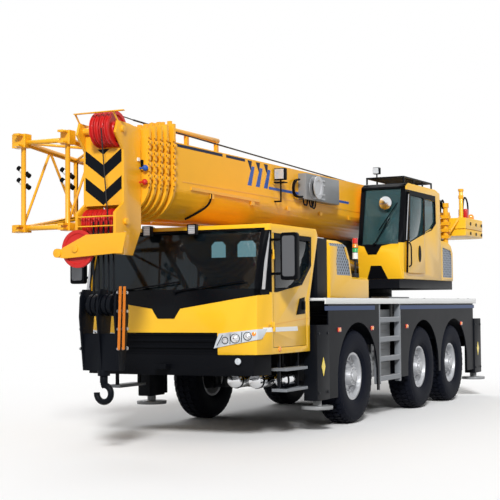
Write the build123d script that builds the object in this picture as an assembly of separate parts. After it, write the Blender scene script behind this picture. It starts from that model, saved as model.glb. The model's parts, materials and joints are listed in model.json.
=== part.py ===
from build123d import *
import os
from math import atan2, cos, hypot, pi, sin

os.makedirs("parts", exist_ok=True)

# Three-axle telescopic mobile crane, in millimetres.
# X points forward from axle 1, Y to the left and Z up from the ground.
# ORIGIN_X, further down, moves the whole model so that its origin is under the middle of its length.

HALF_WIDTH = 1375.0

# Running gear
AXLE_1_X = 0.0
AXLE_2_X = -2850.0
AXLE_3_X = -4470.0
TYRE_R = 665.0
TYRE_WIDTH = 385.0
WHEEL_INSET = 52.5
WHEEL_Y = HALF_WIDTH - TYRE_WIDTH / 2 - WHEEL_INSET
TYRE_SHOULDER = 45.0
BEAD_R = 322.0
FLANGE_R = 350.0
RIM_WIDTH = 270.0
RIM_WALL = 20.0
DISC_OFFSET = 30.0
HUB_R = 130.0
HUB_REACH = 150.0
DRUM_R = 230.0
HAND_HOLES = 10
HAND_HOLE_R = 24.0
HAND_HOLE_AT = 262.0
KINGPIN_INSET = 210.0
KINGPIN_R = 30.0
KINGPIN_HALF = 200.0
EAR_THICK = 45.0
AXLE_TUBE_R = 75.0
DIFFERENTIAL_R = 190.0
STRUT_R = 55.0
STRUT_Y = 560.0
STRUT_X = 170.0
PIN_GAP = 0.5
SEAT_GAP = 0.3

# Chassis
FRAME_HALF = 430.0
FRAME_FRONT_X = 2750.0
FRAME_REAR_X = -6050.0
FRAME_BOTTOM = 880.0
FRAME_FRONT_TOP = 1060.0
FRAME_STEP_X = 1080.0
DECK_TOP = 1770.0
DECK_THICK = 40.0
DECK_FRONT_X = 1200.0
DECK_REAR_X = -5770.0
SKIRT_BOTTOM = 1685.0
SKIRT_THICK = 20.0
PANEL_THICK = 20.0
ARCH_R = 760.0
LINER_R = 800.0
LINER_THICK = 12.0
LINER_LOW = 430.0
LINER_INNER_Y = 850.0

# Towing eyes: a plate with an upright pin hole at each end
TOW_REACH = 130.0
TOW_HALF = 80.0
TOW_BOTTOM = 900.0
TOW_THICK = 60.0
TOW_PIN_R = 25.0

# Outriggers
BOX_LENGTH = 410.0
BOX_WALL = 20.0
BOX_FRONT_X = 1295.0
BOX_REAR_X = -5845.0
BOX_BOTTOM = 900.0
BOX_TOP = 1290.0
BEAM_WIDTH = 170.0
BEAM_GAP = 8.0
HOUSING_THICK = 195.0
HOUSING_BOTTOM = 420.0
HOUSING_TOP = 1410.0
JACK_R = 60.0
FOOT_R = 210.0
FOOT_BOTTOM = 300.0
FOOT_THICK = 45.0
OUTRIGGER_TRAVEL = 1750.0
JACK_TRAVEL = 550.0

# Carrier cab
CAB_HALF = 1300.0
CAB_BOTTOM = 1075.0
CAB_FRONT_X = 3040.0
CAB_REAR_X = 1560.0
CAB_ROOF_REAR_X = 1270.0
CAB_ROOF_FRONT_X = 2720.0
CAB_ROOF = 2680.0
CAB_WAIST = 1750.0
CAB_WALL = 50.0
GLASS_THICK = 8.0
DOOR_FRONT_X = 2660.0
DOOR_REAR_X = 1660.0
DOOR_UPPER_REAR_X = 1480.0
DOOR_BOTTOM = 1150.0
DOOR_TOP = 2570.0
DOOR_STEP_Z = 1950.0
DOOR_GAP = 6.0
HINGE_R = 12.0
HINGE_LENGTH = 60.0
HINGE_LEAF = 50.0
HINGE_Z = (1350.0, 2240.0)
HINGE_Y = CAB_HALF + HINGE_R

# Bumper and grille
BUMPER_BOTTOM = 820.0
SLAT_Z = (1105.0, 1185.0, 1265.0)
SLAT_OPENING = 50.0
SLAT_MARGIN = 40.0

# Engine hood
HOOD_FRONT_X = 720.0
HOOD_REAR_X = -65.0
HOOD_LOW_X = -720.0
HOOD_TOP = 2580.0
HOOD_LOW_TOP = 2070.0
HOOD_EDGE_R = 120.0
MESH_DEPTH = 12.0
INTAKE_GAP = 30.0
INTAKE_LENGTH = 395.0
HOOD_HALF = HALF_WIDTH - 135.0
HOOD_WALL = 30.0

# Slewing superstructure
SLEW_X = -2900.0
RING_R = 750.0
RING_TOP = 1855.0
PLATFORM_BOTTOM = 1930.0
PLATFORM_TOP = 2080.0
PLATFORM_FRONT_X = -2050.0
PLATFORM_REAR_X = -4780.0
PLATFORM_HALF = 1240.0
CHEEK_INNER = 450.0
CHEEK_THICK = 45.0

# Operator cab
OP_INNER_Y = 500.0
OP_OUTER_Y = PLATFORM_HALF + 10.0
OP_FRONT_X = -2150.0
OP_REAR_X = -4150.0
OP_TOP = 3630.0
OP_GUARD_TOP = 3745.0
GUARD_R = 13.0
GUARD_BARS = 7
OP_WALL = 45.0
OP_DOOR_THICK = 34.0
OP_DOOR_FRONT_X = -2330.0
OP_DOOR_REAR_X = -3180.0
OP_DOOR_TRAVEL = 720.0

# Counterweight
WEIGHT_FRONT_X = -5450.0
WEIGHT_REAR_X = -6800.0
WEIGHT_HALF = PLATFORM_HALF + 60.0
WEIGHT_BOTTOM = 2920.0
WEIGHT_SPLIT = 3050.0
WEIGHT_TOP = 3250.0
WEIGHT_CORNER_R = 320.0

# Boom
PIVOT_X = -4800.0
PIVOT_Z = 3150.0
PIVOT_R = 100.0
BOOM_HALF = 420.0
BOOM_TOP = 3650.0
BOOM_KNEE = 3100.0
BOOM_BOTTOM = 2760.0
BOOM_WALL = 12.0
BOOM_STEP = 35.0
BOOM_TAIL_X = -5150.0
COLLAR_THICK = 50.0
LUG_REACH = 22.0
LUG_R = 24.0
RAIL_Z = 3905.0
RAIL_R = 35.0
TELE_TRAVEL = 7300.0
HEAD_FRONT_X = 4430.0
HEAD_HALF = 250.0
HEAD_PLATE = 25.0
UPPER_SHEAVE_R = 205.0
LOWER_SHEAVE_R = 155.0
SHEAVE_STEP = 68.0
SHEAVE_HALF = 27.0
SHEAVE_BORE = 40.3
GROOVE_DEPTH = 26.0
UPPER_SHEAVE_X = 4455.0
UPPER_SHEAVE_Z = 3705.0
UPPER_SHEAVE_Y = -20.0
UPPER_SHEAVES = 4
LOWER_SHEAVE_X = 4395.0
LOWER_SHEAVE_Z = 2645.0
LOWER_SHEAVE_Y = -204.0
LOWER_SHEAVES = 7
AUX_SHEAVE_R = 218.0
AUX_SHEAVE_Y = -215.0
AUX_SHEAVE_Z = 2335.0
AUX_SHEAVE_X = 4626.0
AUX_ARM_X = 4650.0
AUX_ARM_THICK = 35.0

# Luffing cylinder: its foot on the platform and its eye under the boom
CYL_FOOT_X = -3300.0
CYL_FOOT_Z = 2260.0
CYL_EYE_X = -450.0
CYL_EYE_Z = 2620.0
CYL_BARREL_R = 140.0
CYL_ROD_R = 85.0
CYL_EYE_HALF = 100.0
LUFF_MAX = 78.0

# Hook block
BLOCK_TOP = 1870.0
BLOCK_BOTTOM = 950.0
BLOCK_HALF = 245.0
BLOCK_Y = 68.0
BLOCK_SHEAVE_R = 125.0
BLOCK_SHEAVE_Z = 1690.0
FALLS = 5
CHEEK_PLATE = 22.0
ROPE_R = 11.0
HOOK_BOTTOM = 560.0

# Folding jib, carried on the right of the boom
JIB_FRONT_X = 4420.0
JIB_BEND_X = 3300.0
JIB_REAR_X = -3500.0
CHORD_R = 35.0
LACE_R = 17.0

AXLES = [AXLE_1_X, AXLE_2_X, AXLE_3_X]
STEERED = {1: AXLE_1_X, 3: AXLE_3_X}
SIDES = {"left": 1, "right": -1}
KINGPIN_Y = WHEEL_Y - KINGPIN_INSET

# The boss on the auxiliary arm and the back of the counterweight are the two ends of the crane.
AUX_FRONT_X = AUX_ARM_X + AUX_ARM_THICK + 20.0
ORIGIN_X = (AUX_FRONT_X + WEIGHT_REAR_X) / 2

nodes = {}


def block(x0, x1, y0, y1, z0, z1):
    """A box given by its low and high limits."""
    size = Box(abs(x1 - x0), abs(y1 - y0), abs(z1 - z0))
    return Pos((x0 + x1) / 2, (y0 + y1) / 2, (z0 + z1) / 2) * size


def rod(p, q, radius):
    """A round bar from p to q."""
    start = Vector(*p)
    along = Vector(*q) - start
    plane = Plane(origin=start, z_dir=along.normalized())
    return Solid.make_cylinder(radius, along.length, plane)


def disc_y(x, z, radius, y0, y1):
    """A round plate with its axis along Y."""
    return rod((x, min(y0, y1), z), (x, max(y0, y1), z), radius)


def side_plate(points, y0, y1):
    """A plate with a straight-sided outline of (x, z) points, from y0 to y1."""
    face = Face(Wire.make_polygon([Vector(x, y0, z) for x, z in points], close=True))
    return Solid.extrude(face, Vector(0, y1 - y0, 0))


def cross_plate(points, x0, x1):
    """A plate with a straight-sided outline of (y, z) points, from x0 to x1."""
    face = Face(Wire.make_polygon([Vector(x0, y, z) for y, z in points], close=True))
    return Solid.extrude(face, Vector(x1 - x0, 0, 0))


def flat_plate(points, z0, z1):
    """A plate with a straight-sided outline of (x, y) points, from z0 to z1."""
    face = Face(Wire.make_polygon([Vector(x, y, z0) for x, y in points], close=True))
    return Solid.extrude(face, Vector(0, 0, z1 - z0))


def fuse(*shapes):
    """One solid made of several that touch."""
    return Part() + list(shapes)


def mirrored(shape):
    """The same piece on the other side of the crane."""
    return mirror(shape, Plane.XZ)


def on_side(shape, side):
    """A left-hand piece, or its mirror image on the right."""
    return shape if side > 0 else mirrored(shape)


def group(*shapes):
    """Several separate solids in one node."""
    return Compound([solid for shape in shapes for solid in shape.solids()])


def turned(profile, x, y, z):
    """A piece turned about a cross axis through (x, y, z), from a closed outline of (radius, v) points."""
    points = [Vector(x, y + v, z + r) for r, v in profile]
    face = Face(Wire.make_polygon(points, close=True))
    return Solid.revolve(face, 360, Axis((x, y, z), (0, 1, 0)))


# Wheels, built on the left and mirrored: v is measured outwards from the tyre's middle
def ring(profile, axle_x):
    return turned(profile, axle_x, WHEEL_Y, TYRE_R)


def tyre(axle_x):
    half = TYRE_WIDTH / 2
    bead = RIM_WIDTH / 2 - RIM_WALL
    belly = (BEAD_R + TYRE_R) / 2
    outline = [
        (BEAD_R, -bead), (FLANGE_R, -bead), (FLANGE_R + 20, -bead - 30), (belly, -half),
        (TYRE_R - TYRE_SHOULDER, -half + 12), (TYRE_R, -half + TYRE_SHOULDER),
        (TYRE_R, half - TYRE_SHOULDER), (TYRE_R - TYRE_SHOULDER, half - 12),
        (belly, half), (FLANGE_R + 20, bead + 30), (FLANGE_R, bead), (BEAD_R, bead),
    ]
    return ring(outline, axle_x)


def rim(axle_x):
    half = RIM_WIDTH / 2
    well = BEAD_R - RIM_WALL
    disc_out = DISC_OFFSET + RIM_WALL
    barrel = ring([
        (well, -half), (FLANGE_R, -half), (FLANGE_R, -half + RIM_WALL), (BEAD_R, -half + RIM_WALL),
        (BEAD_R, half - RIM_WALL), (FLANGE_R, half - RIM_WALL), (FLANGE_R, half), (well, half),
    ], axle_x)
    disc = disc_y(axle_x, TYRE_R, well, WHEEL_Y + DISC_OFFSET, WHEEL_Y + disc_out)
    hub = disc_y(axle_x, TYRE_R, HUB_R, WHEEL_Y + DISC_OFFSET, WHEEL_Y + HUB_REACH)
    cap = disc_y(axle_x, TYRE_R, HUB_R * 0.6, WHEEL_Y + HUB_REACH, WHEEL_Y + HUB_REACH + 20)
    for number in range(HAND_HOLES):
        angle = 2 * pi * number / HAND_HOLES
        x = axle_x + HAND_HOLE_AT * cos(angle)
        z = TYRE_R + HAND_HOLE_AT * sin(angle)
        disc -= disc_y(x, z, HAND_HOLE_R, WHEEL_Y + DISC_OFFSET - 5, WHEEL_Y + disc_out + 5)
    return fuse(barrel, disc, hub, cap)


def knuckle(axle_x):
    drum = disc_y(axle_x, TYRE_R, DRUM_R, WHEEL_Y - RIM_WIDTH / 2, WHEEL_Y + DISC_OFFSET - SEAT_GAP)
    boss = rod((axle_x, KINGPIN_Y, TYRE_R - 150), (axle_x, KINGPIN_Y, TYRE_R + 150), 60)
    pin = rod(
        (axle_x, KINGPIN_Y, TYRE_R - KINGPIN_HALF), (axle_x, KINGPIN_Y, TYRE_R + KINGPIN_HALF), KINGPIN_R)
    neck = disc_y(axle_x, TYRE_R, 120, KINGPIN_Y, WHEEL_Y - RIM_WIDTH / 2)
    return fuse(drum, boss, pin, neck)


def axle_end(axle_x, steered):
    """The left half of an axle beam, with a fork for the kingpin or a fixed brake drum."""
    if not steered:
        tube = disc_y(axle_x, TYRE_R, AXLE_TUBE_R, 0, WHEEL_Y - RIM_WIDTH / 2)
        drum = disc_y(
            axle_x, TYRE_R, DRUM_R, WHEEL_Y - RIM_WIDTH / 2, WHEEL_Y + DISC_OFFSET - SEAT_GAP)
        return fuse(tube, drum)
    web_y = KINGPIN_Y - 130
    tube = disc_y(axle_x, TYRE_R, AXLE_TUBE_R, 0, web_y)
    web = block(axle_x - 60, axle_x + 60, web_y - 40, web_y, TYRE_R - KINGPIN_HALF, TYRE_R + KINGPIN_HALF)
    pieces = [tube, web]
    for low in (TYRE_R - KINGPIN_HALF, TYRE_R + KINGPIN_HALF - EAR_THICK):
        arm = block(axle_x - 55, axle_x + 55, web_y - 40, KINGPIN_Y, low, low + EAR_THICK)
        eye = rod((axle_x, KINGPIN_Y, low), (axle_x, KINGPIN_Y, low + EAR_THICK), 60)
        pieces += [arm, eye]
    hole = rod(
        (axle_x, KINGPIN_Y, TYRE_R - 300), (axle_x, KINGPIN_Y, TYRE_R + 300), KINGPIN_R + PIN_GAP)
    return fuse(*pieces) - hole


def axle_beam(axle_x, steered):
    half = axle_end(axle_x, steered)
    housing = disc_y(axle_x, TYRE_R, DIFFERENTIAL_R, -150, 150)
    struts = []
    for side in SIDES.values():
        y = side * STRUT_Y
        struts.append(rod((axle_x + STRUT_X, y, TYRE_R), (axle_x + STRUT_X, y, STRUT_SEAT), STRUT_R))
        struts.append(block(axle_x - 60, axle_x + STRUT_X + STRUT_R, y - 60, y + 60, TYRE_R - 70, TYRE_R + 70))
    return fuse(half, mirrored(half), housing, *struts)


# Chassis: a central box, two outrigger boxes across it and the slewing pedestal
STRUT_SEAT = 1180.0
BEAM_BOTTOM = BOX_BOTTOM + BOX_WALL + SEAT_GAP
BEAM_TOP = BOX_TOP - BOX_WALL - BEAM_GAP
BOX_HALF = HALF_WIDTH - HOUSING_THICK - 10.0
BOXES = {"front": BOX_FRONT_X, "rear": BOX_REAR_X}


def chassis_frame():
    girder = side_plate([
        (FRAME_FRONT_X, FRAME_BOTTOM - 60), (FRAME_FRONT_X, FRAME_FRONT_TOP),
        (FRAME_STEP_X, FRAME_FRONT_TOP), (FRAME_STEP_X, DECK_TOP - DECK_THICK),
        (FRAME_REAR_X, DECK_TOP - DECK_THICK), (FRAME_REAR_X, FRAME_BOTTOM), (FRAME_STEP_X, FRAME_BOTTOM),
    ], -FRAME_HALF, FRAME_HALF)
    pieces = [girder]
    for x in BOXES.values():
        pieces.append(block(
            x - BOX_LENGTH / 2, x + BOX_LENGTH / 2, -BOX_HALF, BOX_HALF, BOX_BOTTOM, BOX_TOP))
    for axle_x in AXLES:
        pieces.append(block(
            axle_x + STRUT_X - 70, axle_x + STRUT_X + 70, -STRUT_Y - 70, STRUT_Y + 70,
            STRUT_SEAT, STRUT_SEAT + 80))
    pieces.append(rod((SLEW_X, 0, FRAME_BOTTOM + 400), (SLEW_X, 0, RING_TOP), RING_R))
    frame = fuse(*pieces)
    for x in BOXES.values():
        inside = BOX_LENGTH / 2 - BOX_WALL
        frame -= block(
            x - inside, x + inside, -HALF_WIDTH, HALF_WIDTH, BOX_BOTTOM + BOX_WALL, BOX_TOP - BOX_WALL)
    return fuse(frame, tow_eye(FRAME_REAR_X, -1))


def tow_eye(x, ahead):
    """A plate standing out from x with an upright hole for a towing pin."""
    tip = x + ahead * TOW_REACH
    plate = block(x, tip, -TOW_HALF, TOW_HALF, TOW_BOTTOM, TOW_BOTTOM + TOW_THICK)
    hole_x = tip - ahead * TOW_HALF
    return plate - rod((hole_x, 0, TOW_BOTTOM - 5), (hole_x, 0, TOW_BOTTOM + TOW_THICK + 5), TOW_PIN_R)


def deck():
    plate = block(DECK_REAR_X, DECK_FRONT_X, -HALF_WIDTH, HALF_WIDTH, DECK_TOP - DECK_THICK, DECK_TOP)
    plate -= rod((SLEW_X, 0, 0), (SLEW_X, 0, DECK_TOP + 10), RING_R + 2)
    skirt = block(
        DECK_REAR_X, DECK_FRONT_X, HALF_WIDTH - SKIRT_THICK, HALF_WIDTH, SKIRT_BOTTOM, DECK_TOP)
    return fuse(plate, skirt, mirrored(skirt))


LADDER_FRONT_X = -830.0
LADDER_REAR_X = -1770.0


def side_panels():
    """The black panels under the deck edge, with a round arch over each wheel."""
    outer = HALF_WIDTH - SKIRT_THICK
    inner = outer - PANEL_THICK
    top = DECK_TOP - DECK_THICK
    # Each row is front x, rear x and bottom z of one stretch.
    stretches = [
        (FRAME_STEP_X - 10, LADDER_FRONT_X, 420.0),
        (LADDER_REAR_X, AXLE_3_X, 560.0),
        (AXLE_3_X, BOX_REAR_X + BOX_LENGTH / 2 + 10, 490.0),
    ]
    panel = fuse(*[block(rear, front, inner, outer, low, top) for front, rear, low in stretches])
    for axle_x in AXLES:
        panel -= disc_y(axle_x, TYRE_R, ARCH_R, inner - 5, outer + 5)
        panel -= block(axle_x - ARCH_R, axle_x + ARCH_R, inner - 5, outer + 5, 0, TYRE_R)
    liners = [wheel_liner(axle_x, inner + 1) for axle_x in AXLES]
    panel = fuse(panel, *liners)
    return group(panel, mirrored(panel))


def wheel_liner(axle_x, outer):
    """The mudguard over the upper part of a wheel, reaching in from the side panel."""
    full = disc_y(axle_x, TYRE_R, LINER_R + LINER_THICK, LINER_INNER_Y, outer)
    full -= disc_y(axle_x, TYRE_R, LINER_R, LINER_INNER_Y - 5, outer + 5)
    reach = LINER_R + LINER_THICK + 10
    low = TYRE_R - reach
    return full - block(axle_x - reach, axle_x + reach, LINER_INNER_Y - 5, outer + 5, low, TYRE_R + LINER_LOW)


# Outriggers
def beam_centre(box_x, side):
    inside = BOX_LENGTH / 2 - BOX_WALL - BEAM_GAP
    return box_x - side * (inside - BEAM_WIDTH / 2)


def outrigger_beam(box_x, side):
    """A box beam that slides out of the chassis, with the jack's housing at its end."""
    x = beam_centre(box_x, side)
    y_in = HALF_WIDTH - HOUSING_THICK
    beam = block(x - BEAM_WIDTH / 2, x + BEAM_WIDTH / 2, -BOX_HALF + 60, y_in, BEAM_BOTTOM, BEAM_TOP)
    housing = block(
        box_x - BOX_LENGTH / 2, box_x + BOX_LENGTH / 2, y_in, HALF_WIDTH, HOUSING_BOTTOM, HOUSING_TOP)
    bore = rod(
        (box_x, HALF_WIDTH - HOUSING_THICK / 2, HOUSING_BOTTOM - 10),
        (box_x, HALF_WIDTH - HOUSING_THICK / 2, HOUSING_TOP - 20), JACK_R + SEAT_GAP)
    return on_side(fuse(beam, housing) - bore, side)


def outrigger_jack(box_x, side):
    y = HALF_WIDTH - HOUSING_THICK / 2
    leg = rod((box_x, y, FOOT_BOTTOM), (box_x, y, HOUSING_TOP - 30), JACK_R)
    foot = rod((box_x, y, FOOT_BOTTOM), (box_x, y, FOOT_BOTTOM + FOOT_THICK), FOOT_R)
    return on_side(fuse(leg, foot), side)


# Carrier cab: the same outline, drawn smaller by an inset, gives the inner space
def cab_solid(inset):
    side = side_plate([
        (CAB_REAR_X + inset, CAB_BOTTOM + inset),
        (CAB_REAR_X + inset, CAB_WAIST),
        (CAB_ROOF_REAR_X + inset, CAB_ROOF - 90 - inset),
        (CAB_ROOF_REAR_X + 60 + inset, CAB_ROOF - inset),
        (CAB_ROOF_FRONT_X - inset, CAB_ROOF - inset),
        (CAB_FRONT_X - 50 - inset, CAB_WAIST + 40),
        (CAB_FRONT_X - inset, CAB_WAIST - 140),
        (CAB_FRONT_X - 20 - inset, CAB_BOTTOM + inset),
    ], -CAB_HALF - 10, CAB_HALF + 10)
    half = CAB_HALF - inset
    front = CAB_FRONT_X - inset
    plan = flat_plate([
        (CAB_ROOF_REAR_X, -half), (front - 330, -half), (front - 110, -half + 90), (front, -half + 420),
        (front, half - 420), (front - 110, half - 90), (front - 330, half), (CAB_ROOF_REAR_X, half),
    ], CAB_BOTTOM, CAB_ROOF)
    return side & plan


WINDSCREEN_HALF = CAB_HALF - 110.0
WINDSCREEN_BOTTOM = 1880.0
WINDSCREEN_TOP = 2600.0
GRILLE_HALF = CAB_HALF - 580.0
GRILLE_TOP = 1345.0
GRILLE_BACK = 110.0
SKIN = 14.0
# Each row is the low y, high y, low z and high z of a rear window.
REAR_WINDOWS = [(-180.0, 40.0, 2330.0, 2550.0), (220.0, 500.0, 2330.0, 2550.0)]
# The left headlamp's outline, as (y, z) points measured inwards from the cab's side.
HEADLAMP = [(CAB_HALF - 555, 1335), (CAB_HALF - 20, 1392), (CAB_HALF - 55, 1262), (CAB_HALF - 630, 1152)]


def windscreen_prism():
    return block(
        CAB_ROOF_FRONT_X - 120, CAB_FRONT_X + 50, -WINDSCREEN_HALF, WINDSCREEN_HALF,
        WINDSCREEN_BOTTOM, WINDSCREEN_TOP)


def rear_window_prisms():
    return [
        block(CAB_ROOF_REAR_X - 50, CAB_REAR_X + 160, y0, y1, z0, z1) for y0, y1, z0, z1 in REAR_WINDOWS
    ]


def door_outline(gap):
    """The door's outline, drawn smaller by a gap."""
    return [
        (DOOR_REAR_X + gap, DOOR_BOTTOM + gap), (DOOR_FRONT_X - gap, DOOR_BOTTOM + gap),
        (DOOR_FRONT_X - gap, DOOR_TOP - gap), (DOOR_UPPER_REAR_X + gap, DOOR_TOP - gap),
        (DOOR_UPPER_REAR_X + gap, DOOR_STEP_Z + 180), (DOOR_REAR_X + gap, DOOR_STEP_Z - 200),
    ]


DOOR_WINDOW = [
    (DOOR_UPPER_REAR_X + 70, 2215), (DOOR_REAR_X + 190, 1960), (DOOR_REAR_X + 440, 1890),
    (DOOR_FRONT_X - 70, 1870),
    (DOOR_FRONT_X - 70, DOOR_TOP - 60), (DOOR_UPPER_REAR_X + 70, DOOR_TOP - 60),
]


def hinge_half(z0, z1, front):
    """Half a door hinge: its barrel on the axis and a leaf on the cab in front or on the door behind."""
    barrel = rod((DOOR_FRONT_X, HINGE_Y, z0), (DOOR_FRONT_X, HINGE_Y, z1), HINGE_R)
    reach = DOOR_FRONT_X + (HINGE_LEAF if front else -HINGE_LEAF)
    leaf = block(DOOR_FRONT_X, reach, CAB_HALF, HINGE_Y, z0, z1)
    return fuse(barrel, leaf)


def carrier_cab():
    shell = cab_solid(0) - cab_solid(CAB_WALL)
    for z in HINGE_Z:
        leaf = hinge_half(z + HINGE_LENGTH + SEAT_GAP, z + 2 * HINGE_LENGTH, True)
        shell = fuse(shell, leaf, mirrored(leaf))
    shell -= windscreen_prism()
    for window in rear_window_prisms():
        shell -= window
    shell -= block(
        CAB_FRONT_X - GRILLE_BACK, CAB_FRONT_X + 10, -GRILLE_HALF, GRILLE_HALF, CAB_BOTTOM - 5, GRILLE_TOP)
    shell -= side_plate(door_outline(0), -CAB_HALF - 20, -CAB_HALF + CAB_WALL + 20)
    shell -= side_plate(door_outline(0), CAB_HALF - CAB_WALL - 20, CAB_HALF + 20)
    return shell


def carrier_glass():
    """The windscreen and the rear windows."""
    skin = cab_solid(CAB_WALL / 2) - cab_solid(CAB_WALL / 2 + GLASS_THICK)
    return group(skin & windscreen_prism(), *[skin & window for window in rear_window_prisms()])


def carrier_door(side):
    """A door as thick as the cab's wall, with its pane set in the middle."""
    inner = CAB_HALF - CAB_WALL
    panel = side_plate(door_outline(DOOR_GAP), inner, CAB_HALF)
    panel -= side_plate(DOOR_WINDOW, inner - 5, CAB_HALF + 5)
    for z in HINGE_Z:
        panel += hinge_half(z, z + HINGE_LENGTH, False)
    middle = CAB_HALF - CAB_WALL / 2
    pane = side_plate(DOOR_WINDOW, middle - GLASS_THICK / 2, middle + GLASS_THICK / 2)
    return on_side(group(panel, pane), side)


def front_bumper():
    """The black bumper under the cab's yellow nose, with the slatted grille above it."""
    half = CAB_HALF - 50
    outer = flat_plate([
        (CAB_FRONT_X - 420, -half), (CAB_FRONT_X - 60, -half + 60), (CAB_FRONT_X + 20, -half + 420),
        (CAB_FRONT_X + 20, half - 420), (CAB_FRONT_X - 60, half - 60), (CAB_FRONT_X - 420, half),
        (CAB_FRONT_X - 420, half - 80), (CAB_FRONT_X - 140, half - 120), (CAB_FRONT_X - 80, half - 420),
        (CAB_FRONT_X - 80, -half + 420), (CAB_FRONT_X - 140, -half + 120), (CAB_FRONT_X - 420, -half + 80),
    ], BUMPER_BOTTOM, CAB_BOTTOM)
    bracket = block(FRAME_FRONT_X, CAB_FRONT_X - 80, -300, 300, BUMPER_BOTTOM + 30, FRAME_FRONT_TOP - 20)
    side_gap = 1.0
    grille = block(
        CAB_FRONT_X - GRILLE_BACK + 20, CAB_FRONT_X - 24, -GRILLE_HALF + side_gap, GRILLE_HALF - side_gap,
        CAB_BOTTOM - 5, GRILLE_TOP - side_gap)
    for z in SLAT_Z:
        grille -= block(
            CAB_FRONT_X - 55, CAB_FRONT_X + 10, -GRILLE_HALF + SLAT_MARGIN, GRILLE_HALF - SLAT_MARGIN,
            z, z + SLAT_OPENING)
    return fuse(outer, bracket, grille, tow_eye(CAB_FRONT_X + 20, 1))


def headlamps():
    """Two headlamps that wrap around the cab's front corners."""
    lamp = cross_plate(HEADLAMP, CAB_FRONT_X - 420, CAB_FRONT_X + 60)
    lamp &= cab_solid(-SKIN) - cab_solid(0)
    return group(lamp, mirrored(lamp))


SEAT_Y = CAB_HALF - 680.0
DASH_HALF = CAB_HALF - 250.0


SEAT_HALF = 260.0
SEAT_REAR_X = CAB_REAR_X + 160.0
SEAT_FRONT_X = SEAT_REAR_X + 540.0
SEAT_BASE_HEIGHT = 330.0
SEAT_PAD = 130.0
SEAT_HEIGHT = 1080.0
STEERING_X = 2390.0
STEERING_HEIGHT = 775.0
STEERING_R = 220.0
STEERING_TILT = 38.0


def carrier_interior():
    """Two seats and the dashboard with its steering wheel."""
    floor = CAB_BOTTOM + CAB_WALL
    pieces = []
    under = floor + SEAT_BASE_HEIGHT
    pad_top = under + SEAT_PAD
    top = floor + SEAT_HEIGHT
    for side in SIDES.values():
        y = side * SEAT_Y
        base = block(SEAT_REAR_X + 30, SEAT_FRONT_X - 10, y - 180, y + 180, floor, under)
        cushion = block(SEAT_REAR_X, SEAT_FRONT_X, y - SEAT_HALF, y + SEAT_HALF, under, pad_top)
        back = side_plate([
            (SEAT_REAR_X, pad_top), (SEAT_REAR_X + 130, pad_top), (SEAT_REAR_X + 40, top),
            (SEAT_REAR_X - 80, top),
        ], y - SEAT_HALF + 10, y + SEAT_HALF - 10)
        pieces.append(fuse(base, cushion, back))
    dash = side_plate([
        (2600, floor), (2760, floor), (2830, floor + 480), (2780, floor + 690), (2560, floor + 690),
        (2500, floor + 560),
    ], -DASH_HALF, DASH_HALF)
    wheel_middle = (STEERING_X, SEAT_Y, floor + STEERING_HEIGHT)
    column = rod((STEERING_X + 170, SEAT_Y, floor + 560), wheel_middle, 30)
    leaning = Pos(*wheel_middle) * Rot(0, -STEERING_TILT, 0)
    wheel = leaning * Torus(STEERING_R, 18)
    spokes = leaning * Box(40, 2 * STEERING_R - 10, 16)
    pieces.append(fuse(dash, column, wheel, spokes))
    return group(*pieces)


MIRROR_Y = CAB_HALF + 140.0
MIRROR_WIDTH = 220.0
MIRROR_LOW = 1980.0
MIRROR_TOP = 2560.0
MIRROR_THICK = 80.0


def mirrors():
    """One large mirror on two arms at each front pillar of the cab."""
    x = DOOR_FRONT_X + 32
    half = MIRROR_THICK / 2
    head = block(x - half, x + half, MIRROR_Y, MIRROR_Y + MIRROR_WIDTH, MIRROR_LOW, MIRROR_TOP)
    head = fillet(head.edges().filter_by(Axis.X), 35)
    arms = [rod((x, CAB_HALF - 30, z), (x, MIRROR_Y + 10, z), 16) for z in (MIRROR_LOW + 80, MIRROR_TOP - 80)]
    mirror_set = fuse(head, *arms) - cab_solid(0)
    return group(mirror_set, mirrored(mirror_set))


LADDER_BOTTOM = 500.0
RUNG_Z = (540.0, 830.0, 1120.0, 1410.0)
RUNG_HEIGHT = 70.0
CAB_STEP_Z = (590.0, 850.0)
CAB_STEP_THICK = 40.0


def ladder():
    """The ladder up to the deck on the left, and its twin on the right."""
    outer = HALF_WIDTH - SKIRT_THICK
    inner = outer - 90
    stiles = [
        block(x - 25, x + 25, inner, outer, LADDER_BOTTOM, DECK_TOP - DECK_THICK)
        for x in (LADDER_FRONT_X - 30, LADDER_REAR_X + 30)
    ]
    rungs = [
        block(LADDER_REAR_X + 30, LADDER_FRONT_X - 30, inner, outer, z, z + RUNG_HEIGHT)
        for z in RUNG_Z
    ]
    left = fuse(*stiles, *rungs)
    return group(left, mirrored(left))


def cab_steps():
    """Two steps under each cab door."""
    hangers = [
        block(x - 20, x + 20, CAB_HALF - 120, CAB_HALF - 80, CAB_STEP_Z[0], CAB_BOTTOM) for x in (1750, 2300)]
    treads = [block(1700, 2350, CAB_HALF - 180, CAB_HALF + 30, z, z + CAB_STEP_THICK) for z in CAB_STEP_Z]
    steps = fuse(*hangers, *treads)
    return group(steps, mirrored(steps))


def hood_profile(inset):
    """The tall hood from the side, as (x, z) points, drawn smaller by an inset."""
    return [
        (HOOD_FRONT_X - inset, DECK_TOP), (HOOD_FRONT_X - inset, HOOD_TOP - inset),
        (HOOD_REAR_X + 365, HOOD_TOP - inset), (HOOD_REAR_X + 205 + inset / 2, HOOD_TOP - 72 - inset),
        (HOOD_REAR_X + 90 + inset, HOOD_TOP - 235), (HOOD_REAR_X + inset, HOOD_LOW_TOP),
        (HOOD_REAR_X + inset, DECK_TOP),
    ]


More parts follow.
